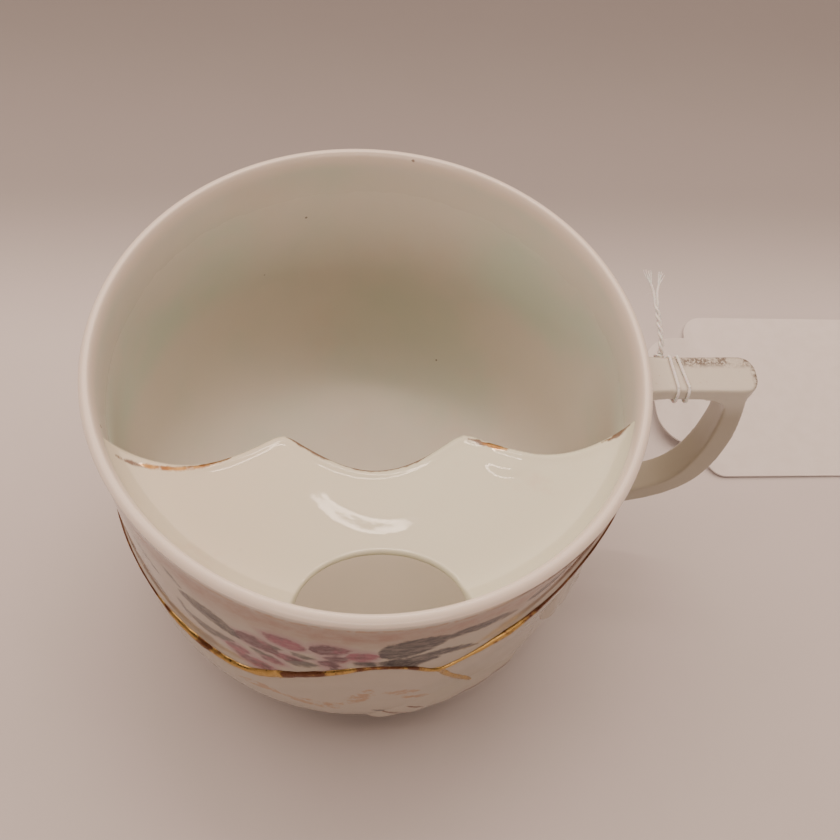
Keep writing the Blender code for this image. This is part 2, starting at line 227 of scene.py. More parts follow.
def degrees_from(centre, degrees):
    """How many degrees each angle is from the centre one, either way round."""
    return np.abs((degrees - centre + 180) % 360 - 180)


# ---------------------------------------------------------------- the cup's own shape


def outer_radius(z):
    """The outer wall: a rounded belly, then a nearly straight side up to the neck."""
    z = np.asarray(z, float)
    rise = np.clip((z - BELLY_HEIGHT) / (NECK_HEIGHT - BELLY_HEIGHT), 0, 1)
    wall = BELLY_RADIUS + (NECK_RADIUS - BELLY_RADIUS) * rise
    drop = np.clip((BELLY_HEIGHT - z) / (BELLY_HEIGHT - FOOT_HEIGHT), 0, 1)
    share = (1 - drop**OUTER_ROUNDNESS) ** (1 / OUTER_ROUNDNESS)
    base = FOOT_RADIUS + (BELLY_RADIUS - FOOT_RADIUS) * share
    return np.where(z >= BELLY_HEIGHT, wall, base)


def inner_radius(z):
    """The bowl: a rounded floor, then a straight side."""
    z = np.asarray(z, float)
    rise = (z - BOWL_TURN_HEIGHT) / (HEIGHT - LIP_RADIUS - BOWL_TURN_HEIGHT)
    wall = BOWL_RADIUS + (RIM_RADIUS - 2 * LIP_RADIUS - BOWL_RADIUS) * rise
    drop = np.clip((BOWL_TURN_HEIGHT - z) / (BOWL_TURN_HEIGHT - BOWL_FLOOR_HEIGHT), 0, 1)
    turn = BOWL_RADIUS * (1 - drop**INNER_ROUNDNESS) ** (1 / INNER_ROUNDNESS)
    return np.where(z >= BOWL_TURN_HEIGHT, wall, turn)


def wobble(degrees):
    """How far a hand-finished wall strays from a true circle, in millimetres."""
    a = np.radians(degrees)
    return 0.10 * np.sin(2 * a + 0.7) + 0.05 * np.sin(3 * a + 2.1) + 0.03 * np.sin(5 * a + 4.0)


# ---------------------------------------------------------------- painted decoration

WALL_RADIUS = 45.2
ARC = math.radians(1) * WALL_RADIUS  # millimetres along the wall for one degree

# Each stroke: angle and height of its start, of its end, half width, where it is widest, bend, tone
LEAF_STROKES = (
    (-132.0, 53.2, -117.5, 47.6, 2.6, 0.45, -1.1, 0.25),
    (-131.8, 44.6, -119.5, 44.4, 1.9, 0.50, 1.6, 0.75),
    (-135.5, 59.0, -131.0, 54.8, 0.5, 0.50, 0.0, 0.45),
    (-133.2, 47.6, -130.8, 41.8, 0.5, 0.50, 0.0, 0.50),
    (-147.5, 45.5, -138.0, 40.2, 0.9, 0.50, 0.0, 0.55),
    (-146.0, 56.0, -138.0, 51.0, 0.9, 0.40, 0.0, 0.70),
    (-89.5, 52.8, -76.0, 58.8, 4.0, 0.40, -0.6, 0.05),
    (-78.5, 57.6, -62.0, 57.6, 1.6, 0.45, -0.9, 0.15),
    (-84.0, 51.0, -69.0, 48.8, 1.5, 0.40, -0.9, 0.05),
    (-89.5, 50.4, -77.0, 48.3, 1.9, 0.45, 0.0, 0.00),
    (-108.5, 45.4, -101.0, 46.6, 1.6, 0.40, 0.0, 0.95),
    (-60.0, 59.5, -50.0, 63.0, 0.9, 0.40, 0.0, 0.35),
    (-89.0, 20.2, -84.0, 17.6, 0.5, 0.50, 0.0, 0.10),
    (-116.0, 46.0, -110.5, 44.4, 0.9, 0.50, 0.3, 0.90),
    (-107.0, 50.6, -101.8, 49.4, 1.1, 0.50, 0.3, 0.80),
    (-99.4, 46.2, -93.0, 46.6, 0.8, 0.50, 0.0, 0.70),
    (-94.8, 50.0, -90.0, 49.8, 0.9, 0.50, 0.0, 0.60),
    (-113.0, 51.0, -108.4, 50.4, 0.8, 0.50, 0.2, 0.95),
)
PETAL_STROKES = (
    (-118.3, 51.2, -109.2, 47.4, 2.5, 0.40, 0.0, 0.15),
    (-112.6, 56.2, -104.2, 52.8, 2.3, 0.55, 0.0, 0.55),
    (-108.8, 54.6, -105.6, 53.0, 1.2, 0.50, 0.0, 1.00),
    (-122.0, 41.3, -116.0, 42.3, 1.8, 0.50, 0.0, 0.70),
    (-119.8, 41.4, -117.4, 42.0, 0.8, 0.50, 0.0, 1.30),
    (-120.2, 39.6, -110.4, 39.0, 1.9, 0.50, 0.9, 0.40),
    (-115.8, 40.2, -113.4, 39.6, 0.8, 0.50, 0.0, 1.20),
    (-110.8, 46.9, -104.8, 47.5, 1.5, 0.50, 0.0, 0.45),
    (-113.5, 43.6, -108.5, 42.6, 1.4, 0.50, 0.0, 0.35),
    (-103.2, 54.2, -95.2, 56.0, 2.2, 0.40, 0.0, 0.10),
    (-96.2, 52.2, -89.8, 53.6, 2.0, 0.45, 0.0, 0.80),
    (-101.6, 48.6, -97.2, 47.9, 1.5, 0.50, 0.0, 0.05),
    (-100.4, 51.2, -95.4, 51.0, 1.5, 0.50, 0.0, 0.35),
)
SCROLL_STROKES = (
    (-120.0, 25.0, -109.5, 24.2, 1.7, 0.50, -1.2, 0.5),
    (-110.5, 24.0, -95.5, 24.4, 1.6, 0.50, 0.9, 0.5),
    (-96.5, 24.2, -90.4, 35.0, 1.7, 0.50, 0.8, 0.5),
    (-102.0, 21.0, -96.0, 22.0, 1.0, 0.50, 0.0, 0.5),
    (-87.6, 32.8, -78.6, 30.2, 1.5, 0.50, 0.6, 0.5),
    (-83.0, 28.0, -75.0, 24.0, 0.8, 0.40, 0.0, 0.5),
)
LIP_LINE_HEIGHT = 65.4
LIP_LINE_HALF = 0.55
# Chips in the rim's glaze: angle, height, radius
RIM_CHIPS = (
    (78.0, 68.3, 0.55),
    (81.5, 68.8, 0.25),
    (-163.5, 66.0, 0.75),
    (-158.0, 67.4, 0.30),
)
FRONT = -92.0  # the middle of the painted front
FRONT_HALF = 68.0
FRONT_SHADE_HALF = 92.0  # how far round the front the painted shade on the outer wall reaches
FRONT_SHADE_FADE = 24.0
OUTSIDE_TOP = 67.5  # where the outer wall's own colour ends under the rim
OUTSIDE_FADE = 2.5
# a band under the lip on the front: its reddish flecks and painted shade under the lip's roll
UNDER_LIP_HEIGHT = 62.0
UNDER_LIP_WIDTH = 4.6
UNDER_LIP_SHARE = 0.9
CHIP_FLATNESS = 1.6
PAINT_START = -158.0
PAINT_END = -30.0
FIELD_LIMIT = 3.0  # a field tells distances only this far, in millimetres


def stroke_field(degrees, z, strokes):
    """How far inside the nearest stroke each point lies, in millimetres, and that stroke's tone."""
    best = np.full(degrees.shape, -FIELD_LIMIT)
    tone = np.zeros(degrees.shape)
    for start, low, end, high, half, widest, bend, shade in strokes:
        across = np.array([(end - start) * ARC, high - low])
        length = np.linalg.norm(across)
        along = across / length
        u = (degrees - start) * ARC
        v = z - low
        t = (u * along[0] + v * along[1]) / length
        held = np.clip(t, 0, 1)
        side = v * along[0] - u * along[1] + bend * np.sin(math.pi * held)
        bulge = held ** (math.log(0.5) / math.log(widest))
        width = half * np.clip(4 * bulge * (1 - bulge), 0, 1) ** 0.75
        outside = np.maximum(np.maximum(-t, t - 1), 0) * length
        inside = width - np.abs(side) - outside
        take = inside > best
        tone = np.where(take, shade, tone)
        best = np.where(take, inside, best)
    return np.clip(best, -FIELD_LIMIT, FIELD_LIMIT), tone


# ---------------------------------------------------------------- node helpers


class Nodes:
    """Short calls for building a material's node tree, whose colour is laid on coat by coat."""

    def __init__(self, name):
        self.colour = None
        self.material = bpy.data.materials.new(name)
        self.material.use_nodes = True
        self.tree = self.material.node_tree
        self.tree.nodes.clear()
        self.output = self.add("ShaderNodeOutputMaterial")
        self.shader = self.add("ShaderNodeBsdfPrincipled")
        self.join(self.shader, "BSDF", self.output, "Surface")

    def add(self, kind, **settings):
        node = self.tree.nodes.new(kind)
        for key, value in settings.items():
            setattr(node, key, value)
        return node

    def join(self, source, output, target, socket):
        self.tree.links.new(source.outputs[output], target.inputs[socket])

    def feed(self, value, socket):
        """Sets a socket to a number or colour, or links it to another socket."""
        if isinstance(value, bpy.types.NodeSocket):
            self.tree.links.new(value, socket)
        else:
            socket.default_value = value

    def place(self):
        """The piece's own coordinates, which are the frame's at rest."""
        return self.add("ShaderNodeTexCoord").outputs["Object"]

    def axes(self):
        """The x, y and z of the piece's own coordinates, in metres."""
        split = self.add("ShaderNodeSeparateXYZ")
        self.feed(self.place(), split.inputs[0])
        return split.outputs

    def noise(self, scale, detail, rough, stretch=None):
        vector = self.place()
        if stretch:
            mapping = self.add("ShaderNodeMapping")
            mapping.inputs["Scale"].default_value = stretch
            self.feed(vector, mapping.inputs["Vector"])
            vector = mapping.outputs["Vector"]
        node = self.add("ShaderNodeTexNoise")
        node.inputs["Scale"].default_value = scale
        node.inputs["Detail"].default_value = detail
        node.inputs["Roughness"].default_value = rough
        self.feed(vector, node.inputs["Vector"])
        return node.outputs["Fac"]

    def field(self, name):
        return self.add("ShaderNodeAttribute", attribute_name=name).outputs["Fac"]

    def math(self, operation, *values):
        node = self.add("ShaderNodeMath", operation=operation)
        for value, socket in zip(values, node.inputs):
            self.feed(value, socket)
        return node.outputs[0]

    def times(self, *values):
        product = values[0]
        for value in values[1:]:
            product = self.math("MULTIPLY", product, value)
        return product

    def plus(self, first, second):
        return self.math("ADD", first, second)

    def minus(self, first, second):
        return self.math("SUBTRACT", first, second)

    def centred_noise(self, scale, detail, rough):
        """Noise about 0 instead of a half."""
        return self.minus(self.noise(scale, detail, rough), 0.5)

    def step(self, value, start, end, low=0.0, high=1.0):
        """value mapped smoothly from start..end to low..high."""
        node = self.add("ShaderNodeMapRange", interpolation_type="SMOOTHSTEP")
        for socket, number in zip(node.inputs, (value, start, end, low, high)):
            self.feed(number, socket)
        return node.outputs[0]

    def mix(self, share, under, over):
        node = self.add("ShaderNodeMix", data_type="RGBA")
        self.feed(share, node.inputs[0])
        for value, socket in ((under, node.inputs[6]), (over, node.inputs[7])):
            self.feed(value if isinstance(value, bpy.types.NodeSocket) else (*value, 1.0), socket)
        return node.outputs[2]

    def lay(self, share, coat):
        """Lays a coat over the colour so far."""
        self.colour = self.mix(share, self.colour, coat)

    def patches(self, scale, detail, rough, start, end, low=0.0, high=1.0):
        """Soft-edged patches: noise mapped from start..end to low..high."""
        return self.step(self.noise(scale, detail, rough), start, end, low, high)

    def bump(self, height, strength, distance, normal=None):
        node = self.add("ShaderNodeBump")
        node.inputs["Strength"].default_value = strength
        node.inputs["Distance"].default_value = distance
        self.feed(height, node.inputs["Height"])
        if normal:
            self.feed(normal, node.inputs["Normal"])
        return node.outputs["Normal"]

    def shade(self, **values):
        """The material, with the colour so far and other values fed to its shader."""
        self.feed(self.colour, self.shader.inputs["Base Color"])
        for key, value in values.items():
            self.feed(value, self.shader.inputs[key.replace("_", " ")])
        return self.material


GLAZE_LIGHT = (0.805, 0.780, 0.705)
GLAZE_GREEN = (0.715, 0.765, 0.670)
GLAZE_WARM = (0.795, 0.738, 0.650)
SPECK = (0.06, 0.045, 0.03)
WORN_GILT = (0.100, 0.066, 0.042)
# painted shade on the handle's lower part, over a warmer tint of the whole handle
HANDLE_TINT_AND_SHADE = (0.310, 0.280, 0.205)
POOLED = (0.660, 0.800, 0.680)
# painted light on the rim's top
RIM_TOP_LIGHT = (0.930, 0.825, 0.735)
# a faint brownish band low in the bowl
BOWL_LOW_TONE = (0.600, 0.565, 0.480)
# painted shade in the bowl under the ledge
UNDER_GUARD_SHADE = (0.430, 0.385, 0.300)
STAIN = (0.42, 0.31, 0.20)
GUARD_GREEN = (0.740, 0.785, 0.580)
GUARD_WARM = (0.750, 0.690, 0.540)
GUARD_BLUSH = (0.66, 0.50, 0.38)
LEAF_DARK = (0.036, 0.031, 0.038)
LEAF_GREEN = (0.110, 0.108, 0.100)
PETAL_DARK = (0.085, 0.034, 0.050)
PETAL_ROSE = (0.270, 0.075, 0.115)
PETAL_PALE = (0.360, 0.235, 0.265)
# reddish flecks under the lip, with painted shade under its roll
UNDER_LIP_FLECKS_AND_SHADE = (0.310, 0.185, 0.145)
# painted shade for the front of the outer wall and its relief leaves
FRONT_SHADE_COLOUR = (0.330, 0.275, 0.220)
CHIP = (0.230, 0.150, 0.110)
SCROLL = (0.350, 0.190, 0.085)
GOLD = (0.500, 0.330, 0.110)
GOLD_DARK = (0.130, 0.045, 0.016)
RUBBED_GOLD = (0.400, 0.190, 0.060)
COTTON_GREY = (0.78, 0.76, 0.74)
COTTON_WHITE = (0.95, 0.94, 0.93)
CARD = (0.70, 0.655, 0.640)
CARD_LIGHT = (0.735, 0.695, 0.685)
CARD_FIBRE = (0.60, 0.56, 0.54)
TABLE_NEAR = (0.600, 0.560, 0.560)
TABLE_NEAR_LIGHT = (0.615, 0.575, 0.575)
# painted shade for the back of the table
TABLE_FAR_SHADE = (0.300, 0.274, 0.270)
TABLE_FARTHEST_SHADE = (0.195, 0.175, 0.170)
LAMP = (1.0, 0.76, 0.62)
SKY = (1.0, 0.76, 0.64)


def glaze_base(nodes):
    """Creamy glaze with cool and warm drifts and a few iron specks."""
    drift = nodes.patches(28, 3, 0.55, 0.45, 0.70)
    warmth = nodes.step(nodes.noise(46, 4, 0.6, stretch=(1, 1.3, 0.8)), 0.52, 0.72, 0.0, 0.6)
    nodes.colour = nodes.mix(drift, GLAZE_LIGHT, GLAZE_GREEN)
    nodes.lay(warmth, GLAZE_WARM)
    cells = nodes.add("ShaderNodeTexVoronoi")
    cells.inputs["Scale"].default_value = 105
    nodes.feed(nodes.place(), cells.inputs["Vector"])
    dot = nodes.step(cells.outputs["Distance"], 0.020, 0.035, 1.0, 0.0)
    pick = nodes.add("ShaderNodeSeparateColor")
    nodes.feed(cells.outputs["Color"], pick.inputs[0])
    chosen = nodes.step(pick.outputs[0], 0.80, 0.82)
    nodes.lay(nodes.times(dot, chosen, 0.75), SPECK)


def glaze_finish(nodes, roughness=0.045, extra_bump=None, **values):
    """The glaze's gloss, its soft orange-peel and a trace of light under its surface."""
    ripple = nodes.bump(nodes.noise(210, 2, 0.5), 0.10, 0.0004)
    peel = nodes.bump(nodes.noise(1300, 2, 0.5), 0.06, 0.0001, ripple)
    normal = extra_bump(peel) if extra_bump else peel
    worn = nodes.patches(90, 4, 0.6, 0.40, 0.75, roughness, roughness + 0.06)
    under_skin = {"Subsurface_Weight": 0.12, "Subsurface_Radius": (1.0, 0.8, 0.5), "Subsurface_Scale": 0.0012}
    return nodes.shade(Roughness=worn, Normal=normal, IOR=1.5, **under_skin, **values)


def bowl_tints_and_shade(nodes, x, y, z):
    """Green glaze pooled under the rim, a faint brownish band low in the bowl, and painted shade on the
    bowl's front below the ledge.
    """
    inside = nodes.minus(1.0, nodes.field("outside"))
    aside = nodes.math("ABSOLUTE", nodes.minus(x, AXIS_X))
    sides = nodes.times(nodes.step(aside, 0.016, 0.030), nodes.step(z, 0.036, 0.046))
    below_lip = nodes.step(z, 0.057, 0.064, 1.0, 0.0)
    patches = nodes.patches(34, 3, 0.5, 0.38, 0.58, 0.1, 0.8)
    nodes.lay(nodes.times(sides, below_lip, patches, inside), POOLED)
    # a faint brownish band low in the bowl, fading out upwards
    ring = nodes.times(nodes.step(z, 0.010, 0.020), nodes.step(z, 0.034, 0.056, 0.06, 0.0))
    nodes.lay(nodes.times(ring, inside), BOWL_LOW_TONE)
    # painted shade: the front of the bowl under the ledge is darkened in its colour
    shaded = nodes.times(nodes.step(y, -0.012, 0.010, 0.75, 0.0), nodes.step(z, 0.050, 0.060, 1.0, 0.0))
    nodes.lay(nodes.times(shaded, inside), UNDER_GUARD_SHADE)


def painted_glaze():
    """The cup's glaze, with flowers, leaves and worn gilt scrolls where the wall's fields put them."""
    nodes = Nodes("painted_glaze")
    x, y, z = nodes.axes()
    edge = nodes.centred_noise(620, 4, 0.65)
    streak = nodes.noise(520, 3, 0.65, stretch=(1, 1, 2.2))
    broken = nodes.patches(420, 4, 0.7, 0.40, 0.56)

    def mask(name, soft, ragged):
        return nodes.step(nodes.plus(nodes.field(name), nodes.times(edge, ragged)), -soft, soft)

    glaze_base(nodes)
    bowl_tints_and_shade(nodes, x, y, z)
    # painted shade: the front of the outer wall, which faces away from the lamps, is darkened in its colour
    nodes.lay(nodes.times(nodes.field("front_shade"), 0.75), FRONT_SHADE_COLOUR)
    # painted light: the top of the rim is made lighter and creamier than the rest of the glaze
    nodes.lay(nodes.step(z, 0.0655, 0.0680, 0.0, 0.85), RIM_TOP_LIGHT)
    nodes.lay(nodes.step(nodes.field("petal"), -2.9, 0.0, 0.0, 0.80), PETAL_PALE)
    # reddish flecks under the lip, in a band that also paints the shade under the lip's roll
    blotch = nodes.patches(260, 4, 0.65, 0.30, 0.70, 0.50, 1.0)
    nodes.lay(nodes.times(nodes.field("under_lip"), blotch), UNDER_LIP_FLECKS_AND_SHADE)
    leaf = nodes.mix(nodes.field("leaf_tone"), LEAF_DARK, LEAF_GREEN)
    leaf_mask = nodes.times(mask("leaf", 0.60, 2.6), nodes.step(streak, 0.30, 0.62, 0.66, 0.95))
    nodes.lay(leaf_mask, leaf)
    tone = nodes.plus(nodes.field("petal_tone"), nodes.times(nodes.centred_noise(340, 3, 0.6), 2.2))
    petal = nodes.mix(nodes.step(tone, 0.1, 0.8), PETAL_DARK, PETAL_ROSE)
    petal = nodes.mix(nodes.step(streak, 0.50, 0.80, 0.0, 0.8), petal, PETAL_PALE)
    petal_mask = nodes.times(mask("petal", 0.65, 2.8), nodes.step(streak, 0.25, 0.6, 0.55, 0.95))
    nodes.lay(petal_mask, petal)
    nodes.lay(nodes.times(mask("scroll", 0.60, 3.4), broken, 0.75), SCROLL)
    nodes.lay(nodes.times(mask("lip_line", 0.25, 1.4), broken, 0.55), SCROLL)
    chip = nodes.step(nodes.plus(nodes.field("chip"), nodes.times(edge, 0.9)), -0.05, 0.20)
    nodes.lay(nodes.times(chip, 0.8), CHIP)

    def enamel(normal):
        raised = nodes.math("MAXIMUM", nodes.field("leaf"), nodes.field("petal"))
        return nodes.bump(nodes.step(raised, -0.2, 0.3), 0.25, 0.00006, normal)

    painted = nodes.math("MAXIMUM", leaf_mask, petal_mask)
    dull = nodes.times(nodes.field("front_shade"), nodes.step(painted, 0.1, 0.8, 0.24, 0.38))
    material = glaze_finish(nodes, 0.06, enamel, Specular_IOR_Level=nodes.minus(0.5, dull))
    inside = nodes.minus(1.0, nodes.field("outside"))
    scoured = nodes.times(nodes.step(z, 0.056, 0.066, 0.30, 0.0), inside)
    roughness = nodes.shader.inputs["Roughness"]
    nodes.feed(nodes.plus(roughness.links[0].from_socket, scoured), roughness)
    return material


def branch_gilt():
    """Fired gold over porcelain: bright on the high places, brown and rubbed through elsewhere."""
    nodes = Nodes("gilt_branch")
    patches = nodes.noise(160, 4, 0.65)
    fine = nodes.noise(1500, 3, 0.6)
    shine = nodes.step(nodes.plus(patches, nodes.times(fine, 0.25)), 0.72, 0.95, 1.0, 0.2)
    nodes.colour = nodes.mix(shine, GOLD_DARK, GOLD)
    gone = nodes.patches(330, 4, 0.7, 0.62, 0.70, 0.0, 0.6)
    nodes.lay(gone, STAIN)
    metal = nodes.step(gone, 0.0, 0.8, 0.92, 0.0)
    rough = nodes.step(fine, 0.3, 0.7, 0.20, 0.42)
    normal = nodes.bump(fine, 0.5, 0.00008, nodes.bump(patches, 0.3, 0.0003))
    return nodes.shade(Metallic=metal, Roughness=rough, Normal=normal)


def guard_glaze():
    """The ledge's glaze, with what is left of a gilt line along its scallops."""
    nodes = Nodes("guard_glaze")
    glaze_base(nodes)
    x = nodes.axes()[0]
    nodes.lay(0.7, GUARD_GREEN)
    nodes.lay(nodes.step(x, AXIS_X - 0.030, AXIS_X + 0.012, 0.85, 0.15), GUARD_WARM)
    blush = nodes.patches(75, 4, 0.65, 0.58, 0.75, 0.0, 0.30)
    nodes.lay(blush, GUARD_BLUSH)
    ragged = nodes.times(nodes.centred_noise(800, 3, 0.6), 0.8)
    broken = nodes.patches(230, 4, 0.7, 0.28, 0.44)
    stain = nodes.step(nodes.plus(nodes.field("stain"), ragged), -0.15, 0.25)
    gold = nodes.times(nodes.step(nodes.plus(nodes.field("gilt"), ragged), -0.22, 0.25), broken)
    nodes.lay(nodes.times(stain, broken, 0.85), GOLD_DARK)
    rubbed = nodes.mix(nodes.patches(620, 4, 0.7, 0.38, 0.62), GOLD_DARK, GOLD)
    nodes.lay(gold, nodes.mix(0.5, rubbed, RUBBED_GOLD))
    return glaze_finish(nodes, Metallic=nodes.times(gold, 0.6))


def handle_glaze():
    """The handle's glaze, warmer overall with painted shade darkening its lower part, and the rubbed gilt
    that is left along the bar's back edge and tip.
    """
    nodes = Nodes("handle_glaze")
    glaze_base(nodes)
    x, y, z = nodes.axes()
    # painted shade: the strap and lower bar are darkened towards the bottom, over a warmer tint of the whole
    # handle
    nodes.lay(nodes.step(z, (BAR_TOP - 9) * MM, (BAR_TOP - 2.6) * MM, 0.80, 0.40), HANDLE_TINT_AND_SHADE)
    high = nodes.step(z, (BAR_TOP - 1.6) * MM, (BAR_TOP - 0.7) * MM)
    back = nodes.step(y, (HANDLE_Y + 0.8) * MM, (HANDLE_Y + 2.2) * MM)
    back = nodes.times(back, nodes.step(x, AXIS_X + 50.0 * MM, AXIS_X + 54.0 * MM))
    tip = nodes.step(x, AXIS_X + (BAR_REACH - 1.5) * MM, AXIS_X + (BAR_REACH - 0.4) * MM)
    speckle = nodes.patches(1700, 5, 0.8, 0.40, 0.53)
    patch = nodes.patches(380, 3, 0.6, 0.36, 0.52, 0.20, 1.0)
    worn = nodes.times(high, nodes.math("MAXIMUM", back, tip), speckle, patch, 0.9)
    nodes.lay(worn, WORN_GILT)
    dots = nodes.times(high, nodes.patches(1500, 3, 0.7, 0.66, 0.72, 0.0, 0.7))
    nodes.lay(dots, STAIN)
    return glaze_finish(nodes)


def leaf_glaze():
    """Relief under glaze, darkened with painted shade like the front wall, with a thin brown line where its
    gilt edge has worn.
    """
    nodes = Nodes("leaf_glaze")
    glaze_base(nodes)
    # painted shade, the same as on the front of the outer wall
    nodes.lay(0.75, FRONT_SHADE_COLOUR)
    ragged = nodes.times(nodes.centred_noise(700, 3, 0.6), 1.1)
    line = nodes.step(nodes.plus(nodes.field("worn_edge"), ragged), -0.1, 0.35)
    broken = nodes.patches(260, 3, 0.6, 0.34, 0.48, 0.35, 0.95)
    nodes.lay(nodes.times(line, broken), GOLD_DARK)
    return glaze_finish(nodes, Specular_IOR_Level=0.26)


# How bright the ribbon's gold is at each angle round the front: partly its wear, partly painted glints and
# reflections
RIBBON_WEAR_AND_GLINTS = (
    (-150, 0.05), (-142, 0.20), (-137, 0.80), (-131, 0.70), (-129.5, 0.20), (-127, 0.40),
    (-122, 0.75), (-116, 0.85), (-111, 1.00), (-108.5, 0.35), (-105, 0.30), (-101, 0.25),
    (-97, 0.80), (-95, 0.70), (-93, 0.10), (-90, 0.30), (-83, 0.20), (-77, 1.00),
    (-72, 0.90), (-66, 0.65), (-60, 0.60), (-57, 0.25), (-50, 0.10),
)


def ribbon_gilt():
    """The ribbon's gold, whose wear and painted glints change as it goes round."""
    nodes = Nodes("gilt_ribbon")
    ramp = nodes.add("ShaderNodeValToRGB")
    first, last = RIBBON_WEAR_AND_GLINTS[0][0], RIBBON_WEAR_AND_GLINTS[-1][0]
    turned = nodes.math("DIVIDE", nodes.minus(nodes.field("angle"), first), last - first)
    nodes.feed(turned, ramp.inputs[0])
    bar = ramp.color_ramp
    places = [(angle - first) / (last - first) for angle, _ in RIBBON_WEAR_AND_GLINTS]
    for place in places[1:-1]:
        bar.elements.new(place)
    for element, place, (_, value) in zip(bar.elements, places, RIBBON_WEAR_AND_GLINTS):
        element.position = place
        element.color = (value, value, value, 1)
    bright = nodes.add("ShaderNodeRGBToBW")
    nodes.feed(ramp.outputs[0], bright.inputs[0])
    patches = nodes.noise(420, 4, 0.65)
    fine = nodes.noise(1600, 3, 0.6)
    # the listed brightness holds painted glints as well as wear
    level = nodes.plus(bright.outputs[0], nodes.times(nodes.minus(patches, 0.5), 2.0))
    shine = nodes.step(level, 0.25, 0.65)
    nodes.colour = nodes.mix(shine, GOLD_DARK, GOLD)
    nodes.lay(nodes.step(fine, 0.62, 0.80, 0.0, 0.22), GOLD_DARK)
    metal = nodes.step(shine, 0.0, 1.0, 0.55, 1.0)
    rough = nodes.step(fine, 0.3, 0.7, 0.24, 0.46)
    normal = nodes.bump(fine, 0.5, 0.00008, nodes.bump(patches, 0.4, 0.0003))
    return nodes.shade(Metallic=metal, Roughness=rough, Normal=normal)


def cotton():
    """Bleached cotton: soft white fibre with a little grey in the twist."""
    nodes = Nodes("cotton_thread")
    fibre = nodes.noise(5200, 3, 0.6)
    nodes.colour = nodes.mix(nodes.step(fibre, 0.3, 0.7), COTTON_GREY, COTTON_WHITE)
    soft = {"Sheen_Weight": 0.35, "Subsurface_Weight": 0.2, "Subsurface_Scale": 0.0004}
    rough = nodes.step(fibre, 0, 1, 0.75, 0.95)
    return nodes.shade(Roughness=rough, Normal=nodes.bump(fibre, 0.6, 0.00008), **soft)


def card():
    """Smooth white tag card with a faint fibre mottle."""
    nodes = Nodes("tag_card")
    mottle = nodes.noise(260, 5, 0.6)
    fibres = nodes.noise(2400, 4, 0.7, stretch=(1, 3, 1))
    nodes.colour = nodes.mix(nodes.step(mottle, 0.3, 0.7), CARD, CARD_LIGHT)
    nodes.lay(nodes.step(fibres, 0.55, 0.8, 0.0, 0.15), CARD_FIBRE)
    normal = nodes.bump(fibres, 0.15, 0.00006)
    return nodes.shade(Roughness=nodes.step(mottle, 0, 1, 0.55, 0.72), Normal=normal)


def table_top():
    """A plain pale surface, darkened towards the back with painted shade."""
    nodes = Nodes("table_top")
    y = nodes.axes()[1]
    grain = nodes.noise(40, 4, 0.6)
    nodes.colour = nodes.mix(nodes.step(grain, 0.3, 0.7), TABLE_NEAR, TABLE_NEAR_LIGHT)
    # painted shade: the table darkens towards the back
    nodes.lay(nodes.step(y, 0.045, 0.105), TABLE_FAR_SHADE)
    nodes.lay(nodes.step(y, 0.09, 0.19), TABLE_FARTHEST_SHADE)
    return nodes.shade(Roughness=nodes.step(grain, 0, 1, 0.55, 0.65))


# ---------------------------------------------------------------- camera, light and stage

TABLE_HALF = 3.0  # metres
SKY_STRENGTH = 0.055
# Each lamp: name, place and target in metres, size, watts
LAMPS = (
    ("overhead", (-0.10, 0.60, 0.85), (-0.10, 0.50, 0), (2.2, 1.55), 28.5),
    ("front_fill", (-0.05, -0.90, 0.33), (0, 0, 0.06), (0.9, 0.3), 3.2),
    ("left_fill", (-0.80, 0.05, 0.55), (0, 0, 0.03), (0.5, 0.5), 0.8),
    ("glint", (0.028, 0.150, 0.640), (-0.01, -0.027, 0.064), (0.24, 0.03), 0.48),
)


def make_camera():
    """A camera that looks down over the drinking side, turned a little on its own axis."""
    azimuth, elevation, roll = (math.radians(a) for a in (CAMERA_AZIMUTH, CAMERA_ELEVATION, CAMERA_ROLL))
    back = Vector((
        math.sin(azimuth) * math.cos(elevation),
        -math.cos(azimuth) * math.cos(elevation),
        math.sin(elevation),
    ))
    level = UP.cross(back).normalized()
    upright = back.cross(level)
    right = level * math.cos(roll) + upright * math.sin(roll)
    up = upright * math.cos(roll) - level * math.sin(roll)
    eye = back * CAMERA_DISTANCE + right * CAMERA_OFFSET[0] + up * CAMERA_OFFSET[1]
    place = world(eye + UP * HEIGHT)
    data = bpy.data.cameras.new("camera")
    data.lens = CAMERA_LENS
    data.clip_start = 0.01
    data.clip_end = 10
    camera = link(bpy.data.objects.new("camera", data))
    columns = (right, up, back, place)
    camera.matrix_world = Matrix([[c[row] for c in columns] for row in range(3)] + [[0, 0, 0, 1]])
    bpy.context.scene.camera = camera


def area_light(name, place, target, size, power):
    """A soft rectangular lamp at a place, turned to face its target."""
    data = bpy.data.lights.new(name, "AREA")
    data.shape = "RECTANGLE"
    data.size, data.size_y = size
    data.energy = power
    data.color = LAMP
    lamp = link(bpy.data.objects.new(name, data))
    lamp.location = place
    lamp.rotation_euler = (Vector(target) - Vector(place)).to_track_quat("-Z", "Y").to_euler()


def make_stage():
    """The table, the room's faint glow and the lamps."""
    mesh = bpy.data.meshes.new("floor")
    plane = bmesh.new()
    bmesh.ops.create_grid(plane, x_segments=8, y_segments=8, size=TABLE_HALF)
    plane.to_mesh(mesh)
    plane.free()
    floor = link(bpy.data.objects.new("floor", mesh))
    mesh.materials.append(table_top())
    sky = bpy.data.worlds.new("studio")
    bpy.context.scene.world = sky
    sky.use_nodes = True
    background = sky.node_tree.nodes["Background"]
    background.inputs["Color"].default_value = (*SKY, 1)
    background.inputs["Strength"].default_value = SKY_STRENGTH
    for lamp in LAMPS:
        area_light(*lamp)


# ---------------------------------------------------------------- cup body


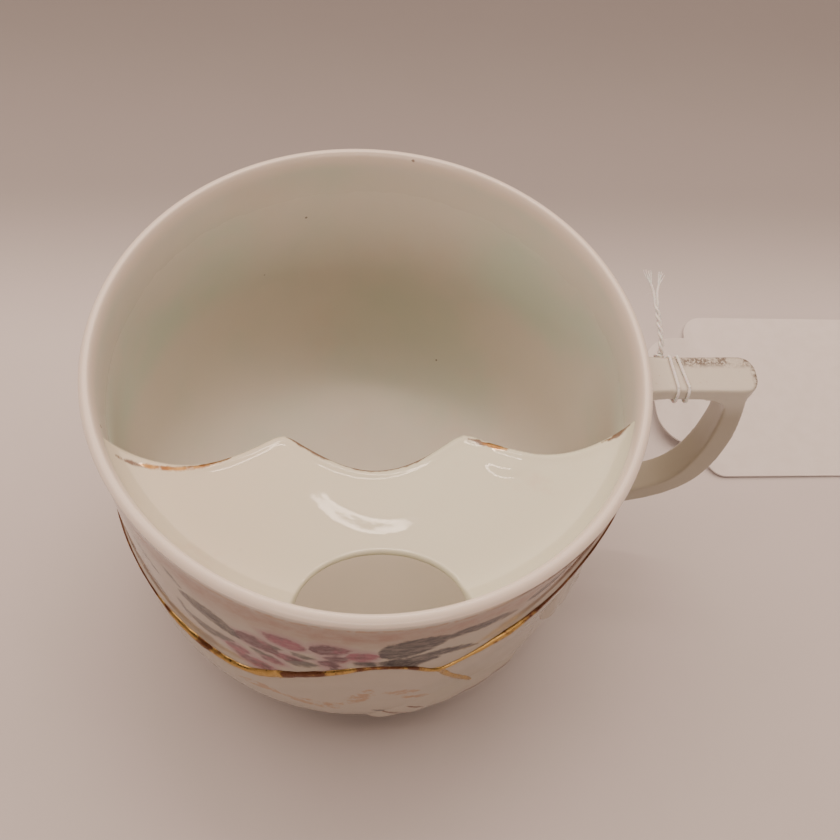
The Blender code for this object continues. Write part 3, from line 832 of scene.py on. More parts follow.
def wall_angles():
    """Angles round the cup, closer together where it is painted."""
    painted = np.linspace(PAINT_START, PAINT_END, 257)
    plain = np.linspace(PAINT_END, PAINT_START + 360, 121)[1:-1]
    return np.concatenate([painted, plain])


# Angle and height along the gilt ribbon, and its half width
RIBBON_KEYS = (
    (-150, 36.0, 0.35),
    (-143, 34.8, 0.42),
    (-137, 34.0, 0.80),
    (-126, 33.3, 1.00),
    (-116, 34.0, 0.90),
    (-104, 42.0, 0.85),
    (-92, 48.5, 0.55),
    (-84, 47.5, 0.45),
    (-77, 43.2, 0.55),
    (-70, 45.8, 0.60),
    (-62, 49.2, 0.95),
    (-50, 54.0, 0.45),
    (-38, 58.5, 0.42),
    (-18, 57.5, 0.42),
    (5, 54.0, 0.50),
    (30, 45.0, 0.55),
    (60, 35.0, 0.60),
    (90, 32.0, 0.60),
    (120, 35.0, 0.60),
    (150, 40.0, 0.55),
    (180, 40.0, 0.50),
)
BRANCH_KEYS = (
    (-76.8, 42.8, 0.60),
    (-74.5, 38.6, 0.60),
    (-71.2, 33.0, 0.58),
    (-67.2, 27.0, 0.45),
    (-64.2, 22.6, 0.16),
)


def ribbon_line(per_span):
    """The ribbon's course once round the wall, as (angle, height, half width)."""
    keys = [RIBBON_KEYS[-1], *RIBBON_KEYS, *RIBBON_KEYS[:2]]
    turns = [-360, *([0] * len(RIBBON_KEYS)), 360, 360]
    line = smooth_path([(a + turn, z, w) for (a, z, w), turn in zip(keys, turns)], per_span)
    first = RIBBON_KEYS[0][0]
    return [p for p in line if first - 1e-6 <= p.x < first + 360 - 1e-6]


RIBBON_COURSE = np.array(ribbon_line(8))
RIDGE_RISE = 0.38  # the wall itself is raised a little under the ribbon
RIDGE_WIDTH = 1.5
SWELL_RISE = 0.35  # and fuller below it, on the front
SWELL_BELOW = 7.0
SWELL_WIDTH = 6.5
SWELL_REACH = 62.0
LIP_OVERHANG = 0.5
TINY = 0.01


def relief(degrees, z):
    """How far the moulded relief lifts the wall, in millimetres."""
    start = RIBBON_COURSE[0, 0]
    turned = (degrees - start) % 360 + start
    middle = np.interp(turned, RIBBON_COURSE[:, 0], RIBBON_COURSE[:, 1], period=360)
    above = z - middle
    front = np.exp(-((degrees_from(FRONT, degrees) / SWELL_REACH) ** 4))
    ridge = RIDGE_RISE * bell(above, RIDGE_WIDTH)
    swell = SWELL_RISE * bell(above + SWELL_BELOW, SWELL_WIDTH) * front
    return (ridge + swell) * np.clip((z - 8) / 6, 0, 1) * np.clip((66 - z) / 3, 0, 1)


def skin_radius(degrees, z):
    """The outer wall's radius with its wobble, relief and slightly rolled lip."""
    flare = np.clip((z - NECK_HEIGHT) / (HEIGHT - LIP_RADIUS - NECK_HEIGHT), 0, 1)
    lip = LIP_OVERHANG * flare**2
    return outer_radius(z) + wobble(degrees) * z / HEIGHT + lip + relief(degrees, z)


def wall_points(degrees, z, proud):
    """Points that stand proud of the outer wall along its own slope, in millimetres from the axis."""
    degrees, z, proud = (np.asarray(v, float) for v in (degrees, z, proud))
    slope = (outer_radius(z + TINY) - outer_radius(z - TINY)) / (2 * TINY)
    length = np.hypot(1, slope)
    radius = skin_radius(degrees, z) + proud / length
    a = np.radians(degrees)
    return np.stack([radius * np.cos(a), radius * np.sin(a), z - proud * slope / length], -1)


def cup_profile():
    """(radius, height, whether it is the outer wall) from the bowl's floor round to the underside."""
    rows = []
    depth = BOWL_TURN_HEIGHT - BOWL_FLOOR_HEIGHT
    for share in np.sin(np.linspace(0, math.pi / 2, 30)[1:-1]):
        drop = (1 - share**INNER_ROUNDNESS) ** (1 / INNER_ROUNDNESS)
        rows.append((BOWL_RADIUS * share, BOWL_TURN_HEIGHT - depth * drop, 0))
    for z in np.linspace(BOWL_TURN_HEIGHT, LIP_FLARE_START, 24):
        rows.append((float(inner_radius(z)), z, 0))
    start = float(inner_radius(LIP_FLARE_START))
    crest = RIM_RADIUS - LIP_CREST
    for share in np.sin(np.linspace(0, math.pi / 2, 26)[1:]):
        flare = 1 - math.sqrt(max(1 - share**LIP_FLARE_POWER, 0))
        z = LIP_FLARE_START + (HEIGHT - LIP_FLARE_START) * share
        rows.append((start + (crest - start) * flare, z, 0))
    for a in np.radians(np.linspace(90, 0, 9)[1:-1]):
        rows.append((crest + LIP_CREST * math.cos(a), HEIGHT - LIP_RADIUS + LIP_RADIUS * math.sin(a), 0))
    rows += [(0, z, 1) for z in np.linspace(HEIGHT - LIP_RADIUS, BELLY_FOOT, 132)]
    drop = 1 - np.sin(np.linspace(0, math.pi / 2, 16)[1:-1])
    rows += [(0, z, 1) for z in FOOT_HEIGHT + (BELLY_FOOT - FOOT_HEIGHT) * drop]
    foot = (
        (FOOT_RADIUS, FOOT_HEIGHT),
        (FOOT_RADIUS - 0.2, 1.2),
        (FOOT_RADIUS - 0.45, 0.35),
        (FOOT_RADIUS - 0.8, 0.0),
        (FOOT_INNER_RADIUS + 0.5, 0.0),
        (FOOT_INNER_RADIUS, 0.4),
        (FOOT_INNER_RADIUS - 0.4, 1.4),
        (FOOT_INNER_RADIUS - 1.2, FOOT_HEIGHT),
        (24.0, FOOT_HEIGHT + 0.15),
        (12.0, UNDERSIDE_MIDDLE),
        (5.0, UNDERSIDE_MIDDLE),
    )
    return rows + [(r, z, 0) for r, z in foot]


def make_cup_body(material):
    """The porcelain cup: one turned skin, with a field for each kind of decoration and one for the painted
    shade on its front.
    """
    angles = wall_angles()
    rows = cup_profile()
    columns = len(angles)
    a = np.radians(angles)
    points = []
    for radius, z, outer in rows:
        heights = np.full(columns, z)
        r = skin_radius(angles, heights) if outer else radius + wobble(angles) * z / HEIGHT
        points.append(np.stack([r * np.cos(a), r * np.sin(a), heights], 1))
    points = np.concatenate(points)
    around = np.tile(angles, len(rows))
    heights = points[:, 2]
    outside = np.repeat([outer for _, _, outer in rows], columns) > 0
    faces = grid_faces(len(rows), columns, wrap_columns=True)
    top, bottom = len(points), len(points) + 1
    last = (len(rows) - 1) * columns
    for c in range(columns):
        d = (c + 1) % columns
        faces.append((top, d, c))
        faces.append((bottom, last + c, last + d))
    faces = [face[::-1] for face in faces]
    fields = {}
    for key, strokes in (("leaf", LEAF_STROKES), ("petal", PETAL_STROKES), ("scroll", SCROLL_STROKES)):
        inside, tone = stroke_field(around, heights, strokes)
        fields[key] = np.where(outside, inside, -FIELD_LIMIT)
        fields[key + "_tone"] = tone
    from_front = degrees_from(FRONT, around)
    front = outside & (from_front < FRONT_HALF)
    line = LIP_LINE_HALF - np.abs(heights - LIP_LINE_HEIGHT)
    fields["lip_line"] = np.where(front, np.clip(line, -FIELD_LIMIT, FIELD_LIMIT), -FIELD_LIMIT)
    chips = np.full(len(points), -FIELD_LIMIT)
    for centre, height, size in RIM_CHIPS:
        away = np.hypot(degrees_from(centre, around) * ARC, CHIP_FLATNESS * (heights - height))
        chips = np.maximum(chips, size - away)
    fields["chip"] = chips
    fields["outside"] = np.where(outside, np.clip((OUTSIDE_TOP - heights) / OUTSIDE_FADE, 0, 1), 0)
    # where the painted shade darkens the front of the outer wall
    fields["front_shade"] = fields["outside"] * ease((FRONT_SHADE_HALF - from_front) / FRONT_SHADE_FADE)
    # reddish flecks and painted shade under the lip, on the front
    band = UNDER_LIP_SHARE * bell(heights - UNDER_LIP_HEIGHT, UNDER_LIP_WIDTH)
    fields["under_lip"] = np.where(front, band, 0)
    fields = {key: np.append(values, [-FIELD_LIMIT] * 2) for key, values in fields.items()}
    points = np.concatenate([points, [[0, 0, BOWL_FLOOR_HEIGHT], [0, 0, UNDERSIDE_MIDDLE]]])
    cup = mesh_object("porcelain_cup", points, faces, fields)
    return finish_piece(cup, material, "cup", "porcelain", "cup_body")


# ---------------------------------------------------------------- moustache guard

GUARD_WALL_RADIUS = 43.75
GUARD_FILLET = 5.5
GUARD_FILLET_RISE = 2.5
GUARD_EDGE = 1.0
GUARD_ROWS = 56
MOUTH_EDGE = 0.55
MOUTH_THINNING = 1.1
PEAK_ROUNDING = 0.45
PEAK_ROUNDING_WIDTH = 1.1
GUARD_LEFT, GUARD_RIGHT = (
    (GUARD_WALL_RADIUS * math.cos(math.radians(a)), GUARD_WALL_RADIUS * math.sin(math.radians(a)))
    for a in (GUARD_LEFT_END, GUARD_RIGHT_END)
)
# Gentle mounds in the top face: centre, stretch along y, flat radius, slope's width, rise
GUARD_MOUNDS = (
    (1.0, -17.0, 1.0, 9.6, 4.2, 0.235),
    (21.0, -17.0, 1.25, 2.4, 2.8, 0.30),
)
# Worn gilt along the scallops: first and last x, inset at each, half width, and 1 for gilt or 0 for stain
GUARD_GILT = (
    (-39.6, -34.0, 2.2, 1.6, 0.34, 0),
    (-36.5, -22.0, 1.7, 0.50, 0.36, 1),
    (-31.0, -25.5, 1.0, 0.8, 0.25, 0),
    (-13.8, -6.0, 0.45, 0.40, 0.55, 0),
    (-7.0, 9.0, 0.32, 0.32, 0.42, 0),
    (14.9, 18.4, 1.15, 1.15, 0.70, 0),
    (16.9, 21.2, 1.10, 0.75, 0.75, 1),
    (37.6, 41.4, 0.80, 0.60, 0.75, 0),
    (36.5, 39.3, 0.50, 0.50, 0.22, 1),
)


def guard_free_edge(x):
    """The scalloped edge's y for each x."""
    corners = (GUARD_LEFT, (-PEAK[0], PEAK[1]), PEAK, GUARD_RIGHT)
    depths = (SIDE_SCALLOP_DEPTH, CENTRE_SCALLOP_DEPTH, SIDE_SCALLOP_DEPTH)
    y = np.zeros_like(x)
    for (x0, y0), (x1, y1), depth in zip(corners, corners[1:], depths):
        t = (x - x0) / (x1 - x0)
        part = (t >= -1e-9) & (t <= 1 + 1e-9)
        y = np.where(part, y0 + (y1 - y0) * t - depth * np.sin(math.pi * np.clip(t, 0, 1)), y)
    for x0 in (-PEAK[0], PEAK[0]):
        y = y - PEAK_ROUNDING * bell(x - x0, PEAK_ROUNDING_WIDTH)
    return y


def guard_wall_edge(x):
    """The guard's y where it meets the wall or the opening."""
    wall = -np.sqrt(np.maximum(GUARD_WALL_RADIUS**2 - x**2, 0))
    low = -math.sqrt(GUARD_WALL_RADIUS**2 - OPENING_HALF_WIDTH**2)
    share = np.sqrt(np.clip(1 - (x / OPENING_HALF_WIDTH) ** 2, 0, 1))
    return np.where(np.abs(x) < OPENING_HALF_WIDTH, low + (OPENING_TOP - low) * share, wall)


def distance_to(points, line):
    """Distance from each point to the nearest of a dense line's points."""
    best = np.full(len(points), 1e9)
    for start in range(0, len(line), 64):
        part = line[start : start + 64]
        gap = np.hypot(points[:, None, 0] - part[None, :, 0], points[:, None, 1] - part[None, :, 1])
        best = np.minimum(best, gap.min(1))
    return best


def guard_plan():
    """The ledge's grid of (x, y) columns from its wall edge to its free edge, and each row's share."""
    left, right = GUARD_LEFT[0], GUARD_RIGHT[0]
    stops = [left, -OPENING_HALF_WIDTH, 0.0, OPENING_HALF_WIDTH, right]
    columns = []
    for start, end, count in zip(stops, stops[1:], (66, 34, 34, 66)):
        t = (1 - np.cos(np.linspace(0, math.pi, count + 1))) / 2
        columns.append((start + (end - start) * t)[:-1])
    x = np.concatenate([*columns, [right]])
    lower = guard_wall_edge(x)
    upper = np.maximum(guard_free_edge(x), lower)
    share = (1 - np.cos(np.linspace(0, math.pi, GUARD_ROWS))) / 2
    y = lower[:, None] + (upper - lower)[:, None] * share[None, :]
    return np.stack([np.repeat(x, GUARD_ROWS), y.ravel()], 1), np.tile(share, len(x))


def guard_faces_z(flat, share):
    """The ledge's top and bottom heights, and each point's distance to the scallops."""
    x, y = flat.T
    dense = np.linspace(GUARD_LEFT[0], GUARD_RIGHT[0], 1400)
    to_scallop = distance_to(flat, np.stack([dense, guard_free_edge(dense)], 1))
    mouth_x = OPENING_HALF_WIDTH * np.cos(np.linspace(0, math.pi, 500))
    to_mouth = distance_to(flat, np.stack([mouth_x, guard_wall_edge(mouth_x * 0.99999)], 1))
    on_edge = share >= 1 - 1e-9
    on_mouth = (share <= 1e-9) & (np.abs(x) < OPENING_HALF_WIDTH - 1e-6)
    free = np.where(on_edge | on_mouth, 0, np.minimum(to_scallop, to_mouth))
    reach = np.where(to_mouth < to_scallop, MOUTH_EDGE, GUARD_EDGE)
    near = np.clip(1 - free / reach, 0, 1)
    full = np.sqrt(np.clip(1 - near**2, 0, 1))
    thin = MOUTH_THINNING * bell(to_mouth, 3.0)
    to_wall = np.maximum(GUARD_WALL_RADIUS - np.hypot(x, y), 0)
    fillet = GUARD_FILLET_RISE * np.clip(1 - to_wall / GUARD_FILLET, 0, 1) ** 3
    roll = 0.16 * bell(to_scallop - 1.0, 0.75) + 0.12 * bell(np.hypot((x + 25.0) / 6.0, (y + 17.5) / 5.0), 1)
    for centre_x, centre_y, stretch, radius, slope, rise in GUARD_MOUNDS:
        away = np.hypot(x - centre_x, stretch * (y - centre_y))
        roll += rise * (1 - ease((away - radius) / slope))
    sway = 0.12 * np.sin(x / 6.1 + 0.6) * np.sin(y / 5.3 + 1.1)
    half = (GUARD_THICKNESS - thin) / 2
    middle = GUARD_TOP - half
    top = middle + (half + fillet + roll + sway) * full
    bottom = middle - (half + 0.5 * fillet) * full
    return top, bottom, to_scallop


def gilt_lines(x, to_scallop):
    """How far inside the nearest gilt line, and inside the nearest brown one, each point lies."""
    fields = {}
    for key, wanted in (("gilt", 1), ("stain", 0)):
        best = np.full(len(x), -FIELD_LIMIT)
        for start, end, inset, far_inset, width, gilded in GUARD_GILT:
            if gilded == wanted:
                t = np.clip((x - start) / (end - start), 0, 1)
                ends = np.minimum(x - start, end - x)
                line = width * np.clip(ends / 2.0, 0.3, 1) + 2 * np.minimum(ends, 0)
                best = np.maximum(best, line - np.abs(to_scallop - inset - (far_inset - inset) * t))
        fields[key] = np.tile(best, 2)
    return fields


def make_guard(material):
    """The scalloped ledge with its half-moon opening."""
    flat, share = guard_plan()
    top, bottom, to_scallop = guard_faces_z(flat, share)
    starts = range(0, len(flat), GUARD_ROWS)
    rim = list(zip(starts, starts[1:]))
    rim += [(b + GUARD_ROWS - 1, a + GUARD_ROWS - 1) for a, b in rim]
    sides = [np.column_stack([flat, z]) for z in (top, bottom)]
    points, faces = sheet(*sides, len(starts), GUARD_ROWS, rim)
    guard = mesh_object("guard_ledge", points, faces, gilt_lines(flat[:, 0], to_scallop))
    clean(guard.data)
    return finish_piece(guard, material, "cup", "porcelain", "moustache_guard")


def clean(mesh):
    """Welds coincident points and drops faces without area."""
    work = bmesh.new()
    work.from_mesh(mesh)
    bmesh.ops.remove_doubles(work, verts=work.verts, dist=2e-6)
    bmesh.ops.dissolve_degenerate(work, edges=work.edges, dist=1e-7)
    bmesh.ops.recalc_face_normals(work, faces=work.faces)
    work.to_mesh(mesh)
    work.free()
    mesh.shade_smooth()


# ---------------------------------------------------------------- handle


def prism(outline, low, high, axes):
    """A closed prism from an outline, extruded from low to high. axes places (u, v, w) in x, y, z."""
    count = len(outline)
    points = [(u, v, low) for u, v in outline] + [(u, v, high) for u, v in outline]
    points = [tuple(p[i] for i in axes) for p in points]
    faces = [tuple(range(count)), tuple(range(2 * count - 1, count - 1, -1))]
    for i in range(count):
        j = (i + 1) % count
        faces.append((j, i, count + i, count + j))
    return points, faces


def corner_fill(x, z, reach_x, reach_z):
    """A concave triangle that rounds an inner corner at (x, z)."""
    steps = 8
    points = [(x, z)]
    for i in range(steps + 1):
        t = math.pi / 2 * i / steps
        points.append((x + reach_x * (1 - math.sin(t)), z + reach_z * (1 - math.cos(t))))
    return points


BAR_UNDERSIDE = BAR_TOP - BAR_THICKNESS + 0.6
# Inner corners of the handle that are rounded: x, z, reach along each, how much narrower each side is
HANDLE_FILLETS = (
    (44.6, BAR_UNDERSIDE, 5.5, -4.2, 0.4),
    (61.3, BAR_UNDERSIDE, -4.6, -4.2, 0.0),
    (44.4, 27.2, 4.5, 3.0, 0.0),
    (44.2, 22.6, 4.0, -3.2, 0.0),
)
BAR_TIP_REACH = 3.4
BAR_TIP_POWER = 0.8
HANDLE_GRAIN = 0.00026  # metres between the softened handle's points


def bar_outline():
    """The thumb rest from above: splayed at its root, with a squarish round tip."""
    half = BAR_WIDTH / 2
    sides = ((RIM_RADIUS - 2.4, half + 0.5), (50.0, half - 0.1), (58.0, half))
    outline = [(x, HANDLE_Y - y) for x, y in sides]
    for a in np.radians(np.linspace(-90, 90, 15)):
        across = math.copysign(abs(math.sin(a)) ** BAR_TIP_POWER, a)
        x = BAR_REACH - BAR_TIP_REACH + BAR_TIP_REACH * math.cos(a) ** BAR_TIP_POWER
        outline.append((x, HANDLE_Y + (half + 0.1) * across))
    return outline + [(x, HANDLE_Y + y) for x, y in sides[::-1]]


def strap_outline():
    """The strap from the side, a little fuller on its outer face."""
    line = smooth_path(STRAP_LINE, 4)
    outer, inner = [], []
    for i, point in enumerate(line):
        along = heading(line, i)
        side = Vector((-along.y, along.x)).normalized()
        outer.append(tuple(point.xy + side * (point.z / 2 + 0.55)))
        inner.append(tuple(point.xy - side * (point.z / 2 + 0.05)))
    return outer + inner[::-1]


def make_handle(material):
    """The thumb rest and strap, joined and softened into one moulding."""
    solid = bmesh.new()

    def add(points, faces):
        verts = [solid.verts.new(world(p)) for p in points]
        for face in faces:
            solid.faces.new([verts[i] for i in face])

    add(*prism(bar_outline(), BAR_TOP - BAR_THICKNESS + 0.5, BAR_TOP, (0, 1, 2)))
    low, high = STRAP_Y - STRAP_WIDTH / 2 - 0.2, STRAP_Y + STRAP_WIDTH / 2 + 0.2
    add(*prism(strap_outline(), low, high, (0, 2, 1)))
    for x, z, reach_x, reach_z, narrower in HANDLE_FILLETS:
        add(*prism(corner_fill(x, z, reach_x, reach_z), low + narrower, high - narrower, (0, 2, 1)))
    bmesh.ops.recalc_face_normals(solid, faces=solid.faces)
    mesh = bpy.data.meshes.new("handle_blank")
    solid.to_mesh(mesh)
    solid.free()
    blank = link(bpy.data.objects.new("handle_blank", mesh))
    remesh = blank.modifiers.new("Remesh", "REMESH")
    remesh.mode = "VOXEL"
    remesh.voxel_size = HANDLE_GRAIN
    relax = blank.modifiers.new("Smooth", "SMOOTH")
    relax.factor = 0.5
    relax.iterations = 16
    bpy.context.view_layer.update()
    graph = bpy.context.evaluated_depsgraph_get()
    shaped = bpy.data.meshes.new_from_object(blank.evaluated_get(graph))
    bpy.data.objects.remove(blank, do_unlink=True)
    bpy.data.meshes.remove(mesh)
    shaped.name = "handle_glazed"
    shaped.shade_smooth()
    handle = link(bpy.data.objects.new("handle_glazed", shaped))
    return finish_piece(handle, material, "cup", "porcelain", "handle")


# ---------------------------------------------------------------- relief


def uneven(x, seed):
    """A smooth irregular wave between about -1 and 1."""
    return (
        0.5 * np.sin(x * 0.9 + seed)
        + 0.3 * np.sin(x * 2.3 + 1.7 * seed)
        + 0.2 * np.sin(x * 5.1 + 2.9 * seed)
    )


def ridge_along(name, course, closed, material, node):
    """A low rounded ridge along the wall; course holds (angle, height, half width)."""
    course = np.array([tuple(p) for p in course])
    u, v = course[:, 0] * ARC, course[:, 1]
    if closed:
        around = 360 * ARC
        before, after = np.roll(u, 1), np.roll(u, -1)
        before[0] -= around
        after[-1] += around
        du, dv = after - before, np.roll(v, -1) - np.roll(v, 1)
    else:
        du, dv = np.gradient(u), np.gradient(v)
    length = np.hypot(du, dv)
    away = np.stack([-dv / length, du / length], 1)
    distance = np.cumsum(np.hypot(np.gradient(u), np.gradient(v)))
    width = course[:, 2] * (1 + 0.16 * uneven(distance * 0.45, 1.3))
    shift = 0.10 * uneven(distance * 0.33, 4.2)
    section = [(math.cos(a), math.sin(a)) for a in np.radians(np.linspace(0, 180, 9))]
    section += [(-0.8, -0.45), (0.0, -0.5), (0.8, -0.45)]
    sides = len(section)
    points = []
    for across, rise in section:
        offset = width * across + shift
        degrees = (u + away[:, 0] * offset) / ARC
        z = v + away[:, 1] * offset
        proud = width * (0.62 * rise if rise > 0 else rise) - 0.02
        points.append(wall_points(degrees, z, proud))
    points = np.stack(points, 1).reshape(-1, 3)
    faces = tube_faces(len(course), sides, closed)
    ridge = mesh_object(name, points, faces, {"angle": np.repeat(course[:, 0], sides)})
    clean(ridge.data)
    return finish_piece(ridge, material, "cup", "gilt", node)


# Each leaf: first and last angle, lowest and highest height, arch, lean, lobes, thickness
LEAF_BASE = (-90, -50, 11.0, 17.0, 7.0, 6.0, 5, 0.9)
LEAF_LINES = (
    (-88.5, 20.0, -79.5, 14.2, 0.55, 0.50, 0.3, 0),
    (-81.2, 20.6, -76.2, 17.0, 0.50, 0.50, 0.0, 0),
    (-75.0, 15.4, -51.5, 20.0, 0.90, 0.50, 0.0, 0),
)
LEAF_SIDE = (-48, -31, 31.0, 40.0, 4.0, 3.0, 3, 1.5)
LOBE_DEPTH = 0.8
LEAF_SUNK = 0.35  # how far the leaf's underside is inside the wall


def make_leaf(name, node, leaf, material):
    """A lobed leaf moulded on the wall: thick along its lower edge, running out at its upper one."""
    start, end, lowest, highest, arch, lean, lobes, thickness = leaf
    columns, rows = 22 * lobes + 1, 29
    t = np.repeat(np.linspace(0, 1, columns), rows)
    s = np.tile((1 - np.cos(np.linspace(0, math.pi, rows))) / 2, columns)
    lobe = LOBE_DEPTH * np.abs(np.sin(math.pi * lobes * t)) ** 0.7
    low = lowest + lean * t - lobe / 2
    high = highest + lean * t + arch * np.sin(math.pi * t) + lobe
    centre = (low + high) / 2
    tall = (high - low) * (0.10 + 0.90 * np.sin(math.pi * t) ** 0.45)
    z = centre + tall * (s - 0.5)
    degrees = start + (end - start) * t
    across = (end - start) * ARC
    ends = np.minimum(t, 1 - t) * across / 3.0
    edge = np.minimum(s * tall, ends * 1.2)
    body = (1 - (1 - np.clip(edge / 1.2, 0, 1)) ** 2) * (1 - s) ** 0.8
    crease = 0.22 * np.abs(np.sin(math.pi * lobes * t)) * (1 - s)
    rise = (thickness * 0.72 + crease) * body - 0.06
    top = wall_points(degrees, z, rise)
    bottom = wall_points(degrees, z, np.full_like(z, -LEAF_SUNK))
    last = (columns - 1) * rows
    rim = [*range(0, last, rows), *range(last, last + rows - 1)]
    rim += [*range(last + rows - 1, rows - 1, -rows), *range(rows - 1, 0, -1)]
    points, faces = sheet(top, bottom, columns, rows, zip(rim, rim[1:] + rim[:1]))
    worn = np.maximum(np.where(s < 0.5, 0.50 - s * tall, -1.0), stroke_field(degrees, z, LEAF_LINES)[0])
    leaf_object = mesh_object(name, points, faces, {"worn_edge": np.tile(worn, 2)})
    clean(leaf_object.data)
    return finish_piece(leaf_object, material, "cup", "porcelain", node)


# ---------------------------------------------------------------- thread and tag

THREAD_RADIUS = 0.27
THREAD_PITCH = 1.5
FUZZ_RADIUS = 0.022
PLIES = 3


def thread_tube(path, radius=THREAD_RADIUS, closed=False, sides=18, pitch=THREAD_PITCH, taper=0.0):
    """Points and faces of a twisted thread along a path, in millimetres from the axis."""
    path = [Vector(p) for p in path]
    count = len(path)
    points, normal, travelled = [], None, 0.0
    for i, here in enumerate(path):
        before = path[i - 1] if i or closed else here
        after = path[(i + 1) % count] if i < count - 1 or closed else here
        along = (after - before).normalized()
        if normal is None:
            normal = along.orthogonal().normalized()
            first = normal.copy()
        normal = (normal - along * normal.dot(along)).normalized()
        side = along.cross(normal)
        share = i / (count - 1)
        size = radius * (1 - taper * share)
        for k in range(sides):
            a = 2 * math.pi * k / sides
            lobe = 0.88 + 0.12 * math.cos(PLIES * (a - 2 * math.pi * travelled / pitch))
            points.append(here + (normal * math.cos(a) + side * math.sin(a)) * size * lobe)
        travelled += (after - here).length
    angle = math.atan2(normal.cross(first).dot(along), normal.dot(first))
    turn = round(angle / (2 * math.pi) * sides)
    return points, tube_faces(count, sides, closed, turn)


def join_parts(parts):
    """Several (points, faces) as one."""
    points, faces = [], []
    for more_points, more_faces in parts:
        offset = len(points)
        points += [tuple(p) for p in more_points]
        faces += [tuple(offset + v for v in face) for face in more_faces]
    return points, faces


def thread_piece(name, parts, material, body, node):
    points, faces = join_parts(parts)
    obj = mesh_object(name, points, faces)
    return finish_piece(obj, material, body, "cotton", node)


def resample(path, step):
    """The same path with points a given distance apart."""
    path = [Vector(p) for p in path]
    made, left = [path[0]], step
    for start, end in zip(path, path[1:]):
        gap = (end - start).length
        while gap >= left:
            start = start.lerp(end, left / gap)
            made.append(start)
            gap, left = (end - start).length, step
        left -= gap
    if (made[-1] - path[-1]).length > step * 0.3:
        made.append(path[-1])
    return made


BAR_EDGE_RADIUS = 0.95
FREE_STEP = 0.15  # spacing of points along the free ends
# Where along the bar the thread crosses each of its edges
WRAP_CROSSINGS = (50.80, 51.15, 51.30, 51.70, 52.20, 53.00, 53.20, 53.20)
KNOT_CENTRE = (49.9, 3.2, 62.8)
KNOT_SIZE = 0.29
KNOT_DEPTH = 0.30
KNOT_POINTS = 90
KNOT_THREAD_RADIUS = 0.24
TAIL_LINE = (
    (50.15, 3.6, 63.5),
    (50.25, 5.9, 64.9),
    (50.15, 9.2, 65.8),
    (50.05, 12.0, 66.5),
)
TAIL_TIPS = (
    ((49.85, 14.2, 66.9), (49.45, 16.4, 67.4), (49.35, 18.4, 67.7)),
    ((50.55, 14.2, 66.8), (51.20, 16.4, 67.1), (51.75, 18.4, 67.5)),
)
TAIL_TWIST = 0.27  # how far each free end winds from the line that both follow
TAIL_TWIST_PITCH = 3.4
FRAY_START = 0.80  # share of the free end that is still twisted
FRAYED_FIBRES = 11
FIBRE_SPANS = 13
FIBRE_PITCH = 50  # loose fibres hardly twist
STRAND_SPACING = 0.9
STRAND_LINE = (
    (50.0, 4.0, 61.2),
    (50.6, 5.2, 57.2),
    (52.2, 8.3, 47.5),
    (55.0, 12.5, 36.0),
    (58.9, 17.7, 24.0),
    (64.0, 23.7, 14.0),
    (69.5, 29.8, 8.0),
    (73.0, 33.6, 6.2),
)
TAG_PIVOT = (73.75, 34.3, 3.2)
HITCH_RING_RADIUS = 2.05


def wrap_course():
    """Two turns of thread round the bar, as rounded rectangles that advance along it."""
    reach = THREAD_RADIUS + 0.02
    half_y = BAR_WIDTH / 2 + reach
    half_z = BAR_THICKNESS / 2 + reach
    corner = BAR_EDGE_RADIUS + reach
    middle = BAR_TOP - BAR_THICKNESS / 2
    corners = ((1, 1, 0), (-1, 1, 90), (-1, -1, 180), (1, -1, 270)) * 2
    path = []
    for i, (side_y, side_z, start) in enumerate(corners):
        for a in np.radians(np.linspace(start, start + 90, 7)):
            y = side_y * (half_y - corner) + corner * math.cos(a)
            z = side_z * (half_z - corner) + corner * math.sin(a)
            path.append((WRAP_CROSSINGS[i], HANDLE_Y + y, middle + z))
    return path


def tail_course(side):
    """One free end: wound round the other for most of its length, then off on its own."""
    shared = resample(smooth_path(TAIL_LINE, 12), FREE_STEP)
    line, travelled = [], 0.0
    for i, here in enumerate(shared):
        along = heading(shared, i)
        across = along.cross(UP).normalized()
        over = across.cross(along)
        a = 2 * math.pi * travelled / TAIL_TWIST_PITCH + math.pi * side
        line.append(here + (across * math.cos(a) + over * math.sin(a)) * TAIL_TWIST)
        travelled += FREE_STEP
    keys = [line[-8], line[-1], *TAIL_TIPS[side]]
    return line[:-8] + resample(smooth_path(keys, 12), 0.12)


def frayed_tail(line, rng):
    """A thread's free end: twisted for most of its length, then split into loose plies and fibres."""
    split = int(len(line) * FRAY_START)
    parts = [thread_tube(line[: split + 1], taper=0.05)]
    end = line[split:]
    along = (end[-1] - end[0]).normalized()
    side = along.cross(UP).normalized()
    over = side.cross(along)
    for _ in range(FRAYED_FIBRES):
        spread_side = rng.uniform(-0.9, 0.9)
        spread_over = rng.uniform(-0.5, 0.5)
        length = rng.uniform(0.70, 1.15)
        curl = rng.uniform(-0.35, 0.35)
        fibre = []
        for t in (i / FIBRE_SPANS for i in range(FIBRE_SPANS + 1)):
            drift = side * (spread_side * t**1.5 + curl * math.sin(3 * t)) + over * spread_over * t**1.5
            fibre.append(end[0].lerp(end[-1], t * length) + drift * 0.8 + side * 0.08 * spread_side)
        radius = rng.uniform(0.07, 0.14)
        parts.append(thread_tube(fibre, radius, sides=6, taper=0.6, pitch=FIBRE_PITCH))
    return parts


